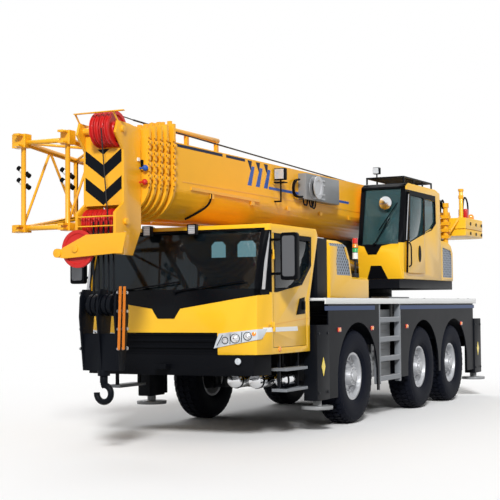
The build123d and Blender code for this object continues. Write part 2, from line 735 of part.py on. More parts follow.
# The mesh panel in the side of the tall hood, as (x, z) points
HOOD_MESH = [
    (HOOD_REAR_X + 545, HOOD_LOW_TOP + 20), (HOOD_REAR_X + 560, HOOD_TOP - 300),
    (HOOD_REAR_X + 510, HOOD_TOP - 60),
    (HOOD_REAR_X + 380, HOOD_TOP - 50), (HOOD_REAR_X + 235, HOOD_TOP - 110),
    (HOOD_REAR_X + 130, HOOD_TOP - 260),
    (HOOD_REAR_X + 45, HOOD_LOW_TOP + 20),
]


def engine_hood():
    """The hood over the engine, with a lower stretch on the left, and the black intake column."""
    section_block = block(HOOD_REAR_X, HOOD_FRONT_X, -HOOD_HALF, HOOD_HALF, DECK_TOP, HOOD_TOP)
    section_block = fillet(section_block.edges().filter_by(Axis.X).group_by(Axis.Z)[-1], HOOD_EDGE_R)
    tall = section_block & side_plate(hood_profile(0), -HOOD_HALF - 5, HOOD_HALF + 5)
    inner_half = HOOD_HALF - 180
    tall -= side_plate(hood_profile(HOOD_WALL), -inner_half, inner_half)
    for side in SIDES.values():
        face_y = side * HOOD_HALF
        tall -= side_plate(HOOD_MESH, face_y - side * MESH_DEPTH, face_y + side * 5)
    low = block(HOOD_LOW_X, HOOD_REAR_X, 640, HOOD_HALF, DECK_TOP, HOOD_LOW_TOP)
    low = chamfer(low.edges().filter_by(Axis.X).group_by(Axis.Z)[-1], 30)
    front = HOOD_FRONT_X + INTAKE_GAP
    column = block(front, front + INTAKE_LENGTH, HOOD_HALF - 230, HOOD_HALF - 20, DECK_TOP, HOOD_TOP)
    column = fillet(column.edges().filter_by(Axis.Z), 40)
    return group(fuse(tall, low), column)


def engine_block():
    return block(HOOD_REAR_X + 265, HOOD_FRONT_X - 80, -420, 420, DECK_TOP, HOOD_TOP - 180)


def boom_rest():
    """The post that the boom lies over when it is lowered."""
    foot = block(HOOD_FRONT_X + 100, HOOD_FRONT_X + 380, -330, 330, DECK_TOP + SEAT_GAP, DECK_TOP + 60)
    post = block(HOOD_FRONT_X + 150, HOOD_FRONT_X + 330, -110, 110, DECK_TOP + 60, BOOM_BOTTOM - 120)
    saddle = block(HOOD_FRONT_X + 120, HOOD_FRONT_X + 360, -260, 260, BOOM_BOTTOM - 120, BOOM_BOTTOM - 20)
    return fuse(foot, post, saddle)


AIR_TANK_X = (2420.0, 2660.0)
AIR_TANK_Y = (560.0, 1080.0)
AIR_TANK_Z = 900.0
AIR_TANK_R = 95.0
FUEL_TANK_Z = (760.0, 1400.0)


def tanks():
    """Two air tanks under the cab and the fuel tank between the axles on the right."""
    pieces = []
    for x in AIR_TANK_X:
        tank = rod((x, AIR_TANK_Y[0], AIR_TANK_Z), (x, AIR_TANK_Y[1], AIR_TANK_Z), AIR_TANK_R)
        hanger = block(x - 20, x + 20, FRAME_HALF, 620, 880, 940)
        pieces.append(fuse(tank, hanger))
    fuel = block(LADDER_REAR_X + 60, LADDER_FRONT_X - 60, -(HALF_WIDTH - 145), -FRAME_HALF, *FUEL_TANK_Z)
    pieces.append(fuel)
    return group(*pieces)


WORK_LAMP_Y = (-400.0, 260.0)
TOWER_X = -330.0
TOWER_Y = HOOD_HALF - 50.0
TOWER_TOP = 2640.0
TOWER_LIGHTS = 310.0


def carrier_lamps():
    """The signal tower and the work lamps on the cab's roof."""
    tower = fuse(
        rod((TOWER_X, TOWER_Y, HOOD_LOW_TOP), (TOWER_X, TOWER_Y, HOOD_LOW_TOP + 60), 45),
        rod((TOWER_X, TOWER_Y, HOOD_LOW_TOP), (TOWER_X, TOWER_Y, TOWER_TOP - TOWER_LIGHTS + 70), 14),
        rod((TOWER_X, TOWER_Y, TOWER_TOP - TOWER_LIGHTS), (TOWER_X, TOWER_Y, TOWER_TOP), 36))
    lamps = []
    for y in WORK_LAMP_Y:
        housing = block(
            CAB_ROOF_FRONT_X + 50, CAB_ROOF_FRONT_X + 115, y - 60, y + 60, CAB_ROOF - 110, CAB_ROOF + 20)
        arm = block(CAB_ROOF_FRONT_X - 60, CAB_ROOF_FRONT_X + 55, y - 20, y + 20, CAB_ROOF, CAB_ROOF + 12)
        lamps.append(fuse(housing, arm))
    return group(tower, *lamps)


# Slewing superstructure
CHEEK = [
    (-2250, PLATFORM_TOP), (-2450, 2480), (-4200, 3420), (-4650, 3520), (-5000, 3460), (-5250, 3180),
    (-5400, WEIGHT_BOTTOM), (-6600, WEIGHT_BOTTOM), (-6600, 2780), (-5450, 2640),
    (PLATFORM_REAR_X, PLATFORM_TOP),
]


def turret_frame():
    """The platform on the slewing ring and the two cheeks that carry the boom."""
    upper_ring = rod((SLEW_X, 0, RING_TOP + SEAT_GAP), (SLEW_X, 0, PLATFORM_BOTTOM), RING_R)
    platform = block(
        PLATFORM_REAR_X, PLATFORM_FRONT_X, -PLATFORM_HALF, PLATFORM_HALF, PLATFORM_BOTTOM, PLATFORM_TOP)
    cheek = side_plate(CHEEK, CHEEK_INNER, CHEEK_INNER + CHEEK_THICK)
    cheek -= disc_y(PIVOT_X, PIVOT_Z, PIVOT_R + PIN_GAP, 0, 600)
    tie = block(-6350, -6100, -CHEEK_INNER, CHEEK_INNER, 2760, 2900)
    foot = side_plate([
        (CYL_FOOT_X - 150, PLATFORM_TOP), (CYL_FOOT_X + 150, PLATFORM_TOP), (CYL_FOOT_X + 90, CYL_FOOT_Z + 90),
        (CYL_FOOT_X - 90, CYL_FOOT_Z + 90),
    ], 150, 180)
    pin = disc_y(CYL_FOOT_X, CYL_FOOT_Z, 45, -180, 180)
    winch_post = block(-5980, -5720, 350, CHEEK_INNER, 2900, 3300)
    winch_seat = block(-6000, -5700, 350, CHEEK_INNER, 2760, 2900)
    left = fuse(cheek, foot, winch_post, winch_seat)
    return fuse(upper_ring, platform, left, mirrored(left), tie, pin)


WINCH_X = -5850.0
WINCH_Z = 3220.0
WINCH_R = 190.0
WINCH_HALF = 320.0
WINCH_FLANGE_R = 270.0
WINCH_FLANGE = 25.0


def winch():
    """The hoist drum between its two posts behind the boom."""
    drum = disc_y(WINCH_X, WINCH_Z, WINCH_R, -WINCH_HALF, WINCH_HALF)
    flanges = [
        disc_y(WINCH_X, WINCH_Z, WINCH_FLANGE_R, y, y + WINCH_FLANGE)
        for y in (-WINCH_HALF - WINCH_FLANGE, WINCH_HALF)]
    motor = disc_y(WINCH_X, WINCH_Z, 60, -WINCH_HALF - 30, WINCH_HALF + 30)
    return fuse(drum, *flanges, motor)


def operator_solid(inset):
    side = side_plate([
        (OP_FRONT_X - 60 - inset, PLATFORM_TOP + inset),
        (OP_FRONT_X - inset, PLATFORM_TOP + 420),
        (OP_FRONT_X - 210 - inset, OP_TOP - 60 - inset),
        (OP_FRONT_X - 330 - inset, OP_TOP - inset),
        (OP_REAR_X + 290 + inset, OP_TOP - inset),
        (OP_REAR_X + 40 + inset, OP_TOP - 50 - inset),
        (OP_REAR_X + inset, PLATFORM_TOP + 700),
        (OP_REAR_X + inset, PLATFORM_TOP + inset),
    ], OP_INNER_Y - 10, OP_OUTER_Y + 10)
    plan = flat_plate([
        (OP_REAR_X, OP_INNER_Y + inset), (OP_FRONT_X, OP_INNER_Y + inset),
        (OP_FRONT_X, OP_OUTER_Y - 60 - inset), (OP_FRONT_X - 90, OP_OUTER_Y - inset),
        (OP_REAR_X, OP_OUTER_Y - inset),
    ], PLATFORM_TOP, OP_TOP)
    return side & plan


OP_DOOR_TOP = OP_TOP - 140.0
OP_WINDOW_TOP = OP_TOP - 200.0
OP_DOOR_BOTTOM = PLATFORM_TOP + 100.0
OP_DOOR_OUTLINE = [
    (OP_DOOR_REAR_X, OP_DOOR_BOTTOM), (OP_DOOR_FRONT_X, OP_DOOR_BOTTOM), (OP_DOOR_FRONT_X - 110, OP_DOOR_TOP),
    (OP_DOOR_REAR_X, OP_DOOR_TOP),
]
OP_DOOR_WINDOW = [
    (OP_DOOR_REAR_X + 60, 2830), (OP_DOOR_FRONT_X - 80, 2660), (OP_DOOR_FRONT_X - 150, OP_WINDOW_TOP),
    (OP_DOOR_REAR_X + 60, OP_WINDOW_TOP),
]
OP_SIDE_WINDOW = [
    (OP_REAR_X + 290, 3070), (OP_REAR_X + 480, 2950), (OP_DOOR_REAR_X - 60, 2850),
    (OP_DOOR_REAR_X - 60, OP_WINDOW_TOP), (OP_REAR_X + 300, OP_WINDOW_TOP),
]
OP_FRONT_WINDOW_Z = (2640.0, OP_TOP - 90.0)


def operator_windows():
    """The spaces cut for the front, side, rear and boom-side panes."""
    return [
        block(OP_FRONT_X - 400, OP_FRONT_X + 60, OP_INNER_Y + 70, OP_OUTER_Y - 70, *OP_FRONT_WINDOW_Z),
        side_plate(OP_SIDE_WINDOW, OP_OUTER_Y - 80, OP_OUTER_Y + 20),
        side_plate([
            (OP_REAR_X + 300, 2800), (OP_DOOR_FRONT_X - 150, 2680), (OP_DOOR_FRONT_X - 190, OP_WINDOW_TOP),
            (OP_REAR_X + 300, OP_WINDOW_TOP),
        ], OP_INNER_Y - 20, OP_INNER_Y + 80),
        block(OP_REAR_X - 50, OP_REAR_X + 150, OP_INNER_Y + 90, OP_OUTER_Y - 90, 2900, OP_WINDOW_TOP - 60),
    ]


def operator_cab():
    shell = operator_solid(0) - operator_solid(OP_WALL)
    for window in operator_windows():
        shell -= window
    opening = [
        (OP_DOOR_REAR_X + 40, OP_DOOR_BOTTOM + 40), (OP_DOOR_FRONT_X - 70, OP_DOOR_BOTTOM + 40),
        (OP_DOOR_FRONT_X - 160, OP_DOOR_TOP - 40), (OP_DOOR_REAR_X + 40, OP_DOOR_TOP - 40)]
    shell -= side_plate(opening, OP_OUTER_Y - 80, OP_OUTER_Y + 20)
    return group(shell, roof_guard())


def roof_guard():
    """The bars over the operator's cab roof, standing on short posts."""
    front = OP_FRONT_X - 290
    rear = OP_REAR_X + 300
    rows = (OP_INNER_Y + 60, OP_OUTER_Y - 60)
    low = OP_GUARD_TOP - 2 * GUARD_R
    bars = [block(rear, front, y - GUARD_R, y + GUARD_R, low, OP_GUARD_TOP) for y in rows]
    step = (front - rear - 2 * GUARD_R) / (GUARD_BARS - 1)
    for number in range(GUARD_BARS):
        x = rear + number * step
        bars.append(block(x, x + 2 * GUARD_R, rows[0], rows[1], low, OP_GUARD_TOP))
        if number % 2 == 0:
            bars += [
                block(x, x + 2 * GUARD_R, y - GUARD_R, y + GUARD_R, OP_TOP + SEAT_GAP, low + 1) for y in rows]
    return fuse(*bars)


def operator_glass():
    skin = operator_solid(OP_WALL / 2) - operator_solid(OP_WALL / 2 + GLASS_THICK)
    return group(*[skin & window for window in operator_windows()])


def operator_door():
    """The sliding door on the outside of the operator's cab."""
    y0 = OP_OUTER_Y + 6
    y1 = y0 + OP_DOOR_THICK
    panel = side_plate(OP_DOOR_OUTLINE, y0, y1)
    panel -= side_plate(OP_DOOR_WINDOW, y0 - 5, y1 + 5)
    for z in (OP_DOOR_BOTTOM + 5, OP_DOOR_TOP - 30):
        panel += block(OP_DOOR_REAR_X, OP_DOOR_FRONT_X - 120, OP_OUTER_Y + SEAT_GAP, y0 + 1, z, z + 25)
    middle = (y0 + y1) / 2
    pane = side_plate(OP_DOOR_WINDOW, middle - GLASS_THICK / 2, middle + GLASS_THICK / 2)
    return group(panel, pane)


def operator_interior():
    floor = PLATFORM_TOP + OP_WALL
    middle = (OP_INNER_Y + OP_OUTER_Y) / 2
    base = block(-3400, -3000, middle - 150, middle + 150, floor, floor + 350)
    cushion = block(-3420, -2920, middle - 230, middle + 230, floor + 350, floor + 460)
    back = side_plate([
        (-3420, floor + 460), (-3300, floor + 460), (-3380, floor + 1100), (-3490, floor + 1100),
    ], middle - 220, middle + 220)
    console = block(-2620, -2420, middle - 200, middle + 200, floor, floor + 560)
    return group(fuse(base, cushion, back), console)


HOOD_2_TOP = 2775.0


def side_hoods():
    """The hood behind the operator's cab and the longer one on the right."""
    front = OP_REAR_X - 10
    rear = OP_REAR_X - 680
    inner = CHEEK_INNER + CHEEK_THICK
    left = side_plate([
        (front, PLATFORM_TOP), (front, HOOD_2_TOP), (rear + 255, HOOD_2_TOP - 20), (rear + 90, HOOD_2_TOP - 80),
        (rear, HOOD_2_TOP - 190), (rear, PLATFORM_TOP),
    ], inner, PLATFORM_HALF)
    mesh = [
        (front - 110, PLATFORM_TOP + 60), (front - 110, HOOD_2_TOP - 120), (rear + 130, HOOD_2_TOP - 160),
        (rear + 60, HOOD_2_TOP - 260), (rear + 60, PLATFORM_TOP + 60),
    ]
    left -= side_plate(mesh, PLATFORM_HALF - MESH_DEPTH, PLATFORM_HALF + 5)
    right = block(rear, PLATFORM_FRONT_X - 300, -PLATFORM_HALF, -inner, PLATFORM_TOP, 2600)
    right = fillet(right.edges().filter_by(Axis.X).group_by(Axis.Z)[-1].sort_by(Axis.Y)[0], 120)
    return group(left, right)


def weight_slab(z0, z1):
    outline = FilletPolyline(
        (WEIGHT_FRONT_X, -WEIGHT_HALF), (WEIGHT_REAR_X, -WEIGHT_HALF), (WEIGHT_REAR_X, WEIGHT_HALF),
        (WEIGHT_FRONT_X, WEIGHT_HALF), radius=WEIGHT_CORNER_R)
    closing = Line((WEIGHT_FRONT_X, WEIGHT_HALF), (WEIGHT_FRONT_X, -WEIGHT_HALF))
    face = make_face([outline, closing])
    return Pos(0, 0, z0) * extrude(face, z1 - z0)


COLUMN_X = WEIGHT_FRONT_X - 45.0
COLUMN_Y = WEIGHT_HALF - 95.0
COLUMN_TOP = 3780.0
COLUMN_R = 38.0


def counterweight():
    """Two stacked slabs, notched at the front for the winch."""
    notch = block(WEIGHT_FRONT_X - 850, WEIGHT_FRONT_X + 10, -CHEEK_INNER - 50, CHEEK_INNER + 50, 2800, 3400)
    lower = weight_slab(WEIGHT_BOTTOM, WEIGHT_SPLIT - 10)
    upper = weight_slab(WEIGHT_SPLIT, WEIGHT_TOP)
    spacer = block(WEIGHT_REAR_X + 150, WEIGHT_FRONT_X - 30, -1150, 1150, WEIGHT_SPLIT - 10, WEIGHT_SPLIT)
    column = rod((COLUMN_X, COLUMN_Y, WEIGHT_TOP - 20), (COLUMN_X, COLUMN_Y, COLUMN_TOP), COLUMN_R)
    return fuse(lower, upper, spacer, column) - notch


# Boom sections: each one is drawn inside the one before, smaller by one step
def section_outline(inset):
    """The U-shaped outline of a section, as a face at x = 0."""
    half = BOOM_HALF - inset
    top = BOOM_TOP - inset
    bottom = BOOM_BOTTOM + inset
    lines = [
        Line((0, -half, BOOM_KNEE), (0, -half, top)),
        Line((0, -half, top), (0, half, top)),
        Line((0, half, top), (0, half, BOOM_KNEE)),
        ThreePointArc((0, half, BOOM_KNEE), (0, 0, bottom), (0, -half, BOOM_KNEE)),
    ]
    return Face(Wire(lines))


def section_bar(inset, x0, x1):
    return Solid.extrude(Pos(x0, 0, 0) * section_outline(inset), Vector(x1 - x0, 0, 0))


def collar(half, top, bottom, x_middle):
    """The stiff plate around a section's mouth, straight at the top and round at the bottom."""
    x0 = x_middle - COLLAR_THICK / 2
    lines = [
        Line((x0, -half, BOOM_KNEE), (x0, -half, top)),
        Line((x0, -half, top), (x0, half, top)),
        Line((x0, half, top), (x0, half, BOOM_KNEE)),
        ThreePointArc((x0, half, BOOM_KNEE), (x0, 0, bottom), (x0, -half, BOOM_KNEE)),
    ]
    return Solid.extrude(Face(Wire(lines)), Vector(COLLAR_THICK, 0, 0))


# Each row is the collar's middle x, half width, top z and bottom z, from the base section outwards.
COLLARS = [
    (3570.0, 450.0, 3860.0, 2690.0),
    (3685.0, 420.0, 3835.0, 2705.0),
    (3800.0, 405.0, 3810.0, 2720.0),
    (3910.0, 390.0, 3785.0, 2735.0),
    (4015.0, 375.0, 3755.0, 2750.0),
]
# Heights of the adjusting bolts on a collar's two sides
LUG_Z = (3190.0, 3330.0, 3460.0, 3590.0)


def collar_lugs(level):
    """The bolt heads that stand out from a collar's sides, and two lugs on its top."""
    x, half, top, _ = COLLARS[level]
    lugs = []
    for side in SIDES.values():
        for z in LUG_Z:
            lugs.append(disc_y(x, z, LUG_R, side * (half - 5), side * (half + LUG_REACH)))
        for y in (half - 70, half - 220):
            lugs.append(block(x - 18, x + 18, side * (y - 25), side * (y + 25), top - 5, top + 38))
    return lugs


def section(level):
    """One hollow section and the collar seated around its mouth; level 0 is the base section."""
    inset = level * BOOM_STEP
    x, half, top, bottom = COLLARS[level]
    tail = BOOM_TAIL_X + 60.0 * level
    mouth = x + COLLAR_THICK / 2
    tube = section_bar(inset, tail, mouth) - section_bar(inset + BOOM_WALL, tail - 10, mouth + 10)
    ring_plate = collar(half, top, bottom, x) - section_bar(inset - SEAT_GAP, x - COLLAR_THICK, mouth + 10)
    ring_plate = fuse(ring_plate, *collar_lugs(level))
    if level:
        tube = fuse(tube, *wear_pads(level, tail))
    return tube, ring_plate


def wear_pads(level, tail):
    """The pads at a section's tail that slide on the inside of the section around it."""
    inset = level * BOOM_STEP
    half = BOOM_HALF - inset
    top = BOOM_TOP - inset
    reach = BOOM_STEP - BOOM_WALL - SEAT_GAP
    pads = []
    for side in SIDES.values():
        pads.append(block(
            tail + 20, tail + 220, side * (half - 120), side * (half - 40), top - 2, top + reach))
        pads.append(block(
            tail + 20, tail + 220, side * (half - 2), side * (half + reach), BOOM_KNEE + 60, BOOM_KNEE + 180))
    return pads


RAIL_POST_X = (1690.0, 2500.0, 3300.0)
BOOM_BOX_X = (-1290.0, -50.0)
BOOM_BOX_Z = (3220.0, 3600.0)
BOOM_BOX_DEPTH = 130.0


def boom_base():
    """The base section with its foot, the cylinder's bracket and the pads that carry the jib."""
    hub = disc_y(PIVOT_X, PIVOT_Z, 170, BOOM_HALF - 5, CHEEK_INNER - 5)
    pin = disc_y(PIVOT_X, PIVOT_Z, PIVOT_R, BOOM_HALF - 5, CHEEK_INNER + CHEEK_THICK)
    bracket = side_plate([
        (CYL_EYE_X - 300, BOOM_BOTTOM + 25), (CYL_EYE_X + 250, BOOM_BOTTOM + 25),
        (CYL_EYE_X + 120, CYL_EYE_Z - 120), (CYL_EYE_X - 120, CYL_EYE_Z - 120),
    ], CYL_EYE_HALF + 10, CYL_EYE_HALF + 40)
    bracket -= section_bar(-SEAT_GAP, CYL_EYE_X - 400, CYL_EYE_X + 400)
    side_pieces = fuse(hub, pin)
    posts = [block(x - 25, x + 25, -25, 25, BOOM_TOP + SEAT_GAP, RAIL_Z) for x in RAIL_POST_X]
    rail = fuse(rod((RAIL_POST_X[0] - 40, 0, RAIL_Z), (RAIL_POST_X[-1] + 60, 0, RAIL_Z), RAIL_R), *posts)
    tube, ring_plate = section(0)
    tube = fuse(tube, side_pieces, mirrored(side_pieces))
    pads = []
    for x in (2600, -1800):
        y, z = chord_point(x, 1, 1)[1:]
        pads.append(block(x - 60, x + 60, y + CHORD_R + SEAT_GAP, -BOOM_HALF - SEAT_GAP, z - 60, z + 60))
    box = block(*BOOM_BOX_X, BOOM_HALF + SEAT_GAP, BOOM_HALF + BOOM_BOX_DEPTH, *BOOM_BOX_Z)
    return group(tube, ring_plate, bracket, mirrored(bracket), rail, *pads, box)


# The head's side plates, as (x, z) points
HEAD_OUTLINE = [
    (4060, 3745), (4300, 3780), (4540, 3790), (4590, 3650), (HEAD_FRONT_X, 3470), (HEAD_FRONT_X, 2860),
    (4602, 2740), (4602, 2270), (4240, 2260), (4060, 2560),
]
# The auxiliary arm's plate, as (y, z) points
AUX_ARM = [
    (465, 2500), (-70, 2490), (-390, 2350), (-470, 2300), (-430, 2235), (-375, 2228), (320, 2270), (411, 2267),
]
GUARD_ROD_X = 4590.0
GUARD_ROD_Z = (2590.0, 2700.0)
UPPER_GUARD_X = 4620.0
UPPER_GUARD_Z = 3880.0


def boom_head():
    """The last section with the head: two side plates, the front plate and the sheave axles."""
    inset = 5 * BOOM_STEP
    tail = BOOM_TAIL_X + 300
    tube = section_bar(inset, tail, HEAD_FRONT_X - 20)
    tube -= section_bar(inset + BOOM_WALL, tail - 10, HEAD_FRONT_X - 20)
    front = cross_plate([
        (-HEAD_HALF, 2835), (HEAD_HALF, 2835), (HEAD_HALF, 3490), (UPPER_SHEAVE_Y - 35, 3490),
        (UPPER_SHEAVE_Y - 75, 3650), (-HEAD_HALF, 3650),
    ], HEAD_FRONT_X - 20, HEAD_FRONT_X)
    plate = side_plate(HEAD_OUTLINE, BOOM_HALF - inset - 2, HEAD_HALF + HEAD_PLATE)
    outer = HEAD_HALF + HEAD_PLATE
    upper_pin = disc_y(UPPER_SHEAVE_X, UPPER_SHEAVE_Z, 40, -outer - 30, outer + 30)
    lower_pin = disc_y(LOWER_SHEAVE_X, LOWER_SHEAVE_Z, 40, -outer - 30, outer + 30)
    guards = [rod((GUARD_ROD_X, -outer, z), (GUARD_ROD_X, outer, z), 8) for z in GUARD_ROD_Z]
    return fuse(
        tube, *wear_pads(5, tail), front, plate, mirrored(plate), upper_pin, lower_pin, *guards,
        *upper_guard(), *auxiliary_arm())


def upper_guard():
    """The flat bar over the upper sheaves and its stays."""
    x, z = UPPER_GUARD_X, UPPER_GUARD_Z
    bar = block(x - 22, x + 22, -HEAD_HALF - 20, HEAD_HALF + 150, z, z + 12)
    stays = [
        rod((x, side * (HEAD_HALF + 10), z + 6), (HEAD_FRONT_X + 70, side * (HEAD_HALF + 10), z - 125), 11)
        for side in SIDES.values()
    ]
    return [bar, *stays]


def auxiliary_arm():
    """The tapering plate folded across the head's front, its foot and the axle of its sheave."""
    front = AUX_ARM_X + AUX_ARM_THICK
    arm = cross_plate(AUX_ARM, AUX_ARM_X, front)
    foot = block(
        AUX_ARM_X - 90, AUX_ARM_X + 5, BOOM_HALF - 5 * BOOM_STEP - 2, HEAD_HALF + HEAD_PLATE, 2290, 2480)
    axle = rod((AUX_SHEAVE_X - 22, AUX_SHEAVE_Y, AUX_SHEAVE_Z), (AUX_FRONT_X, AUX_SHEAVE_Y, AUX_SHEAVE_Z), 40)
    boss = rod((AUX_ARM_X, AUX_ARM[3][0] + 10, 2290), (AUX_FRONT_X, AUX_ARM[3][0] + 10, 2290), 52)
    return [arm, foot, axle, boss]


def sheave(radius, half):
    """The outline of a rope sheave with a groove around it, as (radius, v) points."""
    web = half * 0.35
    return [
        (SHEAVE_BORE, -half), (SHEAVE_BORE + 45, -half), (SHEAVE_BORE + 55, -web), (radius - 50, -web),
        (radius - 40, -half), (radius, -half), (radius, -half + 5), (radius - GROOVE_DEPTH, -8),
        (radius - GROOVE_DEPTH, 8), (radius, half - 5), (radius, half), (radius - 40, half), (radius - 50, web),
        (SHEAVE_BORE + 55, web), (SHEAVE_BORE + 45, half), (SHEAVE_BORE, half),
    ]


def lower_sheave_y(index):
    return LOWER_SHEAVE_Y + index * SHEAVE_STEP


def sheaves():
    """The red rope sheaves of the boom's head, and the auxiliary sheave folded across its front."""
    pieces = []
    for index in range(UPPER_SHEAVES):
        y = UPPER_SHEAVE_Y + index * SHEAVE_STEP
        pieces.append(turned(sheave(UPPER_SHEAVE_R, SHEAVE_HALF), UPPER_SHEAVE_X, y, UPPER_SHEAVE_Z))
    for index in range(LOWER_SHEAVES):
        y = lower_sheave_y(index)
        pieces.append(turned(sheave(LOWER_SHEAVE_R, SHEAVE_HALF), LOWER_SHEAVE_X, y, LOWER_SHEAVE_Z))
    folded = turned(sheave(AUX_SHEAVE_R, 18), 0, 0, 0)
    pieces.append(Pos(AUX_SHEAVE_X, AUX_SHEAVE_Y, AUX_SHEAVE_Z) * Rot(0, 0, 90) * folded)
    return group(*pieces)


# Jib: a tapering lattice of four chords. Each of its ends is near y, far y, high z and low z.
JIB_FRONT = (-520.0, -1160.0, 3640.0, 2610.0)
JIB_BEND = (-545.0, -1170.0, 3540.0, 2800.0)
JIB_REAR = (-560.0, -860.0, 3260.0, 2960.0)
FRONT_PANELS = 2
REAR_PANELS = 8
POST_R = CHORD_R - 5.0
JIB_POSTS_X = (JIB_FRONT_X - 20.0, JIB_BEND_X, JIB_REAR_X + 20.0)


def chord_point(x, inner, upper):
    """Where a chord's middle is at x; inner and upper choose one of the four chords."""
    if x >= JIB_BEND_X:
        share = (JIB_FRONT_X - x) / (JIB_FRONT_X - JIB_BEND_X)
        ends = (JIB_FRONT, JIB_BEND)
    else:
        share = (JIB_BEND_X - x) / (JIB_BEND_X - JIB_REAR_X)
        ends = (JIB_BEND, JIB_REAR)
    near, far, high, low = [a + (b - a) * share for a, b in zip(*ends)]
    return (x, near if inner else far, high if upper else low)


def lacing(first, second):
    """The zigzag tubes on one face of the jib, between its two chords."""
    tubes = []
    for x0, x1, panels in ((JIB_BEND_X, JIB_FRONT_X, FRONT_PANELS), (JIB_REAR_X, JIB_BEND_X, REAR_PANELS)):
        step = (x1 - x0) / panels
        for number in range(panels):
            start, end = (first, second) if number % 2 else (second, first)
            tubes.append(rod(
                chord_point(x0 + number * step, *start), chord_point(x0 + (number + 1) * step, *end), LACE_R))
    return tubes


def jib_fork(inner, upper):
    """A box head at one front corner of the jib, with two eye plates that reach forward."""
    x, y, z = chord_point(JIB_FRONT_X, inner, upper)
    low = z - 60 if upper else z - 45
    high = z + 105 if upper else z + 45
    half = 65
    outer = half if inner else 2 * half
    pieces = [block(x - 90, x + 35, y - outer, y + half, low, high)]
    for plate_z in (low + 5, high - 30):
        eye = block(x + 30, x + 130, y - 40, y + 40, plate_z, plate_z + 25)
        pieces.append(eye - rod((x + 95, y, plate_z - 5), (x + 95, y, plate_z + 30), 18))
    return pieces


def jib_side(inner):
    """One upright side of the jib: its two chords, their forks, the lacing and three posts."""
    bars = lacing((inner, 1), (inner, 0))
    for upper in (1, 0):
        bend = chord_point(JIB_BEND_X, inner, upper)
        bars.append(rod(chord_point(JIB_FRONT_X, inner, upper), bend, CHORD_R))
        bars.append(rod(bend, chord_point(JIB_REAR_X, inner, upper), CHORD_R))
        bars.append(Pos(*bend) * Sphere(CHORD_R))
        bars += jib_fork(inner, upper)
    for x in JIB_POSTS_X:
        bars.append(rod(chord_point(x, inner, 1), chord_point(x, inner, 0), POST_R))
    return fuse(*bars)


def jib():
    """Two sides, each in two lengths that meet at the bend, with the cross tubes between them."""
    sides = [jib_side(1), jib_side(0)]
    reach = 10000.0
    behind_bend = block(-reach, JIB_BEND_X, -reach, reach, -reach, reach)
    lengths = []
    for side in sides:
        lengths += [side & behind_bend, side - behind_bend]
    crossbars = []
    for upper in (1, 0):
        for x in JIB_POSTS_X:
            bar = rod(chord_point(x, 1, upper), chord_point(x, 0, upper), POST_R)
            crossbars.append(bar - sides[0] - sides[1])
    ties = []
    for upper in (1, 0):
        for tube in lacing((1, upper), (0, upper)):
            tube = tube - sides[0] - sides[1]
            for bar in crossbars:
                tube = tube - bar
            ties.append(tube)
    return group(*lengths, *crossbars, *ties)


# Luffing cylinder
CYL_LENGTH = hypot(CYL_EYE_X - CYL_FOOT_X, CYL_EYE_Z - CYL_FOOT_Z)
CYL_ANGLE = atan2(CYL_EYE_Z - CYL_FOOT_Z, CYL_EYE_X - CYL_FOOT_X)


def along_cylinder(distance):
    """A point on the cylinder's line at a distance from its foot pin."""
    return (CYL_FOOT_X + distance * cos(CYL_ANGLE), 0, CYL_FOOT_Z + distance * sin(CYL_ANGLE))


BARREL_END = CYL_LENGTH - 330.0


def cylinder_barrel():
    tube = rod(along_cylinder(90), along_cylinder(BARREL_END), CYL_BARREL_R)
    tube -= rod(along_cylinder(200), along_cylinder(BARREL_END + 10), CYL_ROD_R + SEAT_GAP)
    foot = disc_y(CYL_FOOT_X, CYL_FOOT_Z, 110, -130, 130)
    return fuse(tube, foot) - disc_y(CYL_FOOT_X, CYL_FOOT_Z, 45 + PIN_GAP, -140, 140)


def cylinder_rod():
    bar = rod(along_cylinder(230), along_cylinder(CYL_LENGTH - 60), CYL_ROD_R)
    eye = disc_y(CYL_EYE_X, CYL_EYE_Z, 105, -CYL_EYE_HALF, CYL_EYE_HALF)
    return fuse(bar, eye)


# Hook block, hung on rope falls at the front of the lower sheaves
FALL_X = LOWER_SHEAVE_X + LOWER_SHEAVE_R - GROOVE_DEPTH + ROPE_R + SEAT_GAP


def hook_block():
    """Cheek plates with the block's sheaves between them, on the rope falls."""
    cheek = [
        (-60, BLOCK_BOTTOM), (60, BLOCK_BOTTOM), (140, 1560), (125, 1780), (70, BLOCK_TOP), (-70, BLOCK_TOP),
        (-125, 1780), (-140, 1560),
    ]
    outline = [(FALL_X + x, z) for x, z in cheek]
    plates = []
    low = BLOCK_Y - BLOCK_HALF
    for y in (low, BLOCK_Y - CHEEK_PLATE / 2, BLOCK_Y + BLOCK_HALF - CHEEK_PLATE):
        plates.append(side_plate(outline, y, y + CHEEK_PLATE))
    weight = block(FALL_X - 60, FALL_X + 60, low, low + 2 * BLOCK_HALF, BLOCK_BOTTOM, BLOCK_BOTTOM + 420)
    pin = disc_y(FALL_X, BLOCK_SHEAVE_Z, 45, low - 20, low + 2 * BLOCK_HALF + 20)
    neck = rod((FALL_X, BLOCK_Y, BLOCK_BOTTOM - 60), (FALL_X, BLOCK_Y, BLOCK_BOTTOM + 5), 70)
    pieces = [*plates, weight, pin, neck]
    for index in range(LOWER_SHEAVES - FALLS, LOWER_SHEAVES):
        y = lower_sheave_y(index)
        pieces.append(disc_y(FALL_X, BLOCK_SHEAVE_Z, BLOCK_SHEAVE_R, y - 24, y + 24))
        pieces.append(rod((FALL_X, y, BLOCK_SHEAVE_Z), (FALL_X, y, LOWER_SHEAVE_Z), ROPE_R))
    return fuse(*pieces)


BOWL_R = 95.0
BOWL_THICK = 35.0


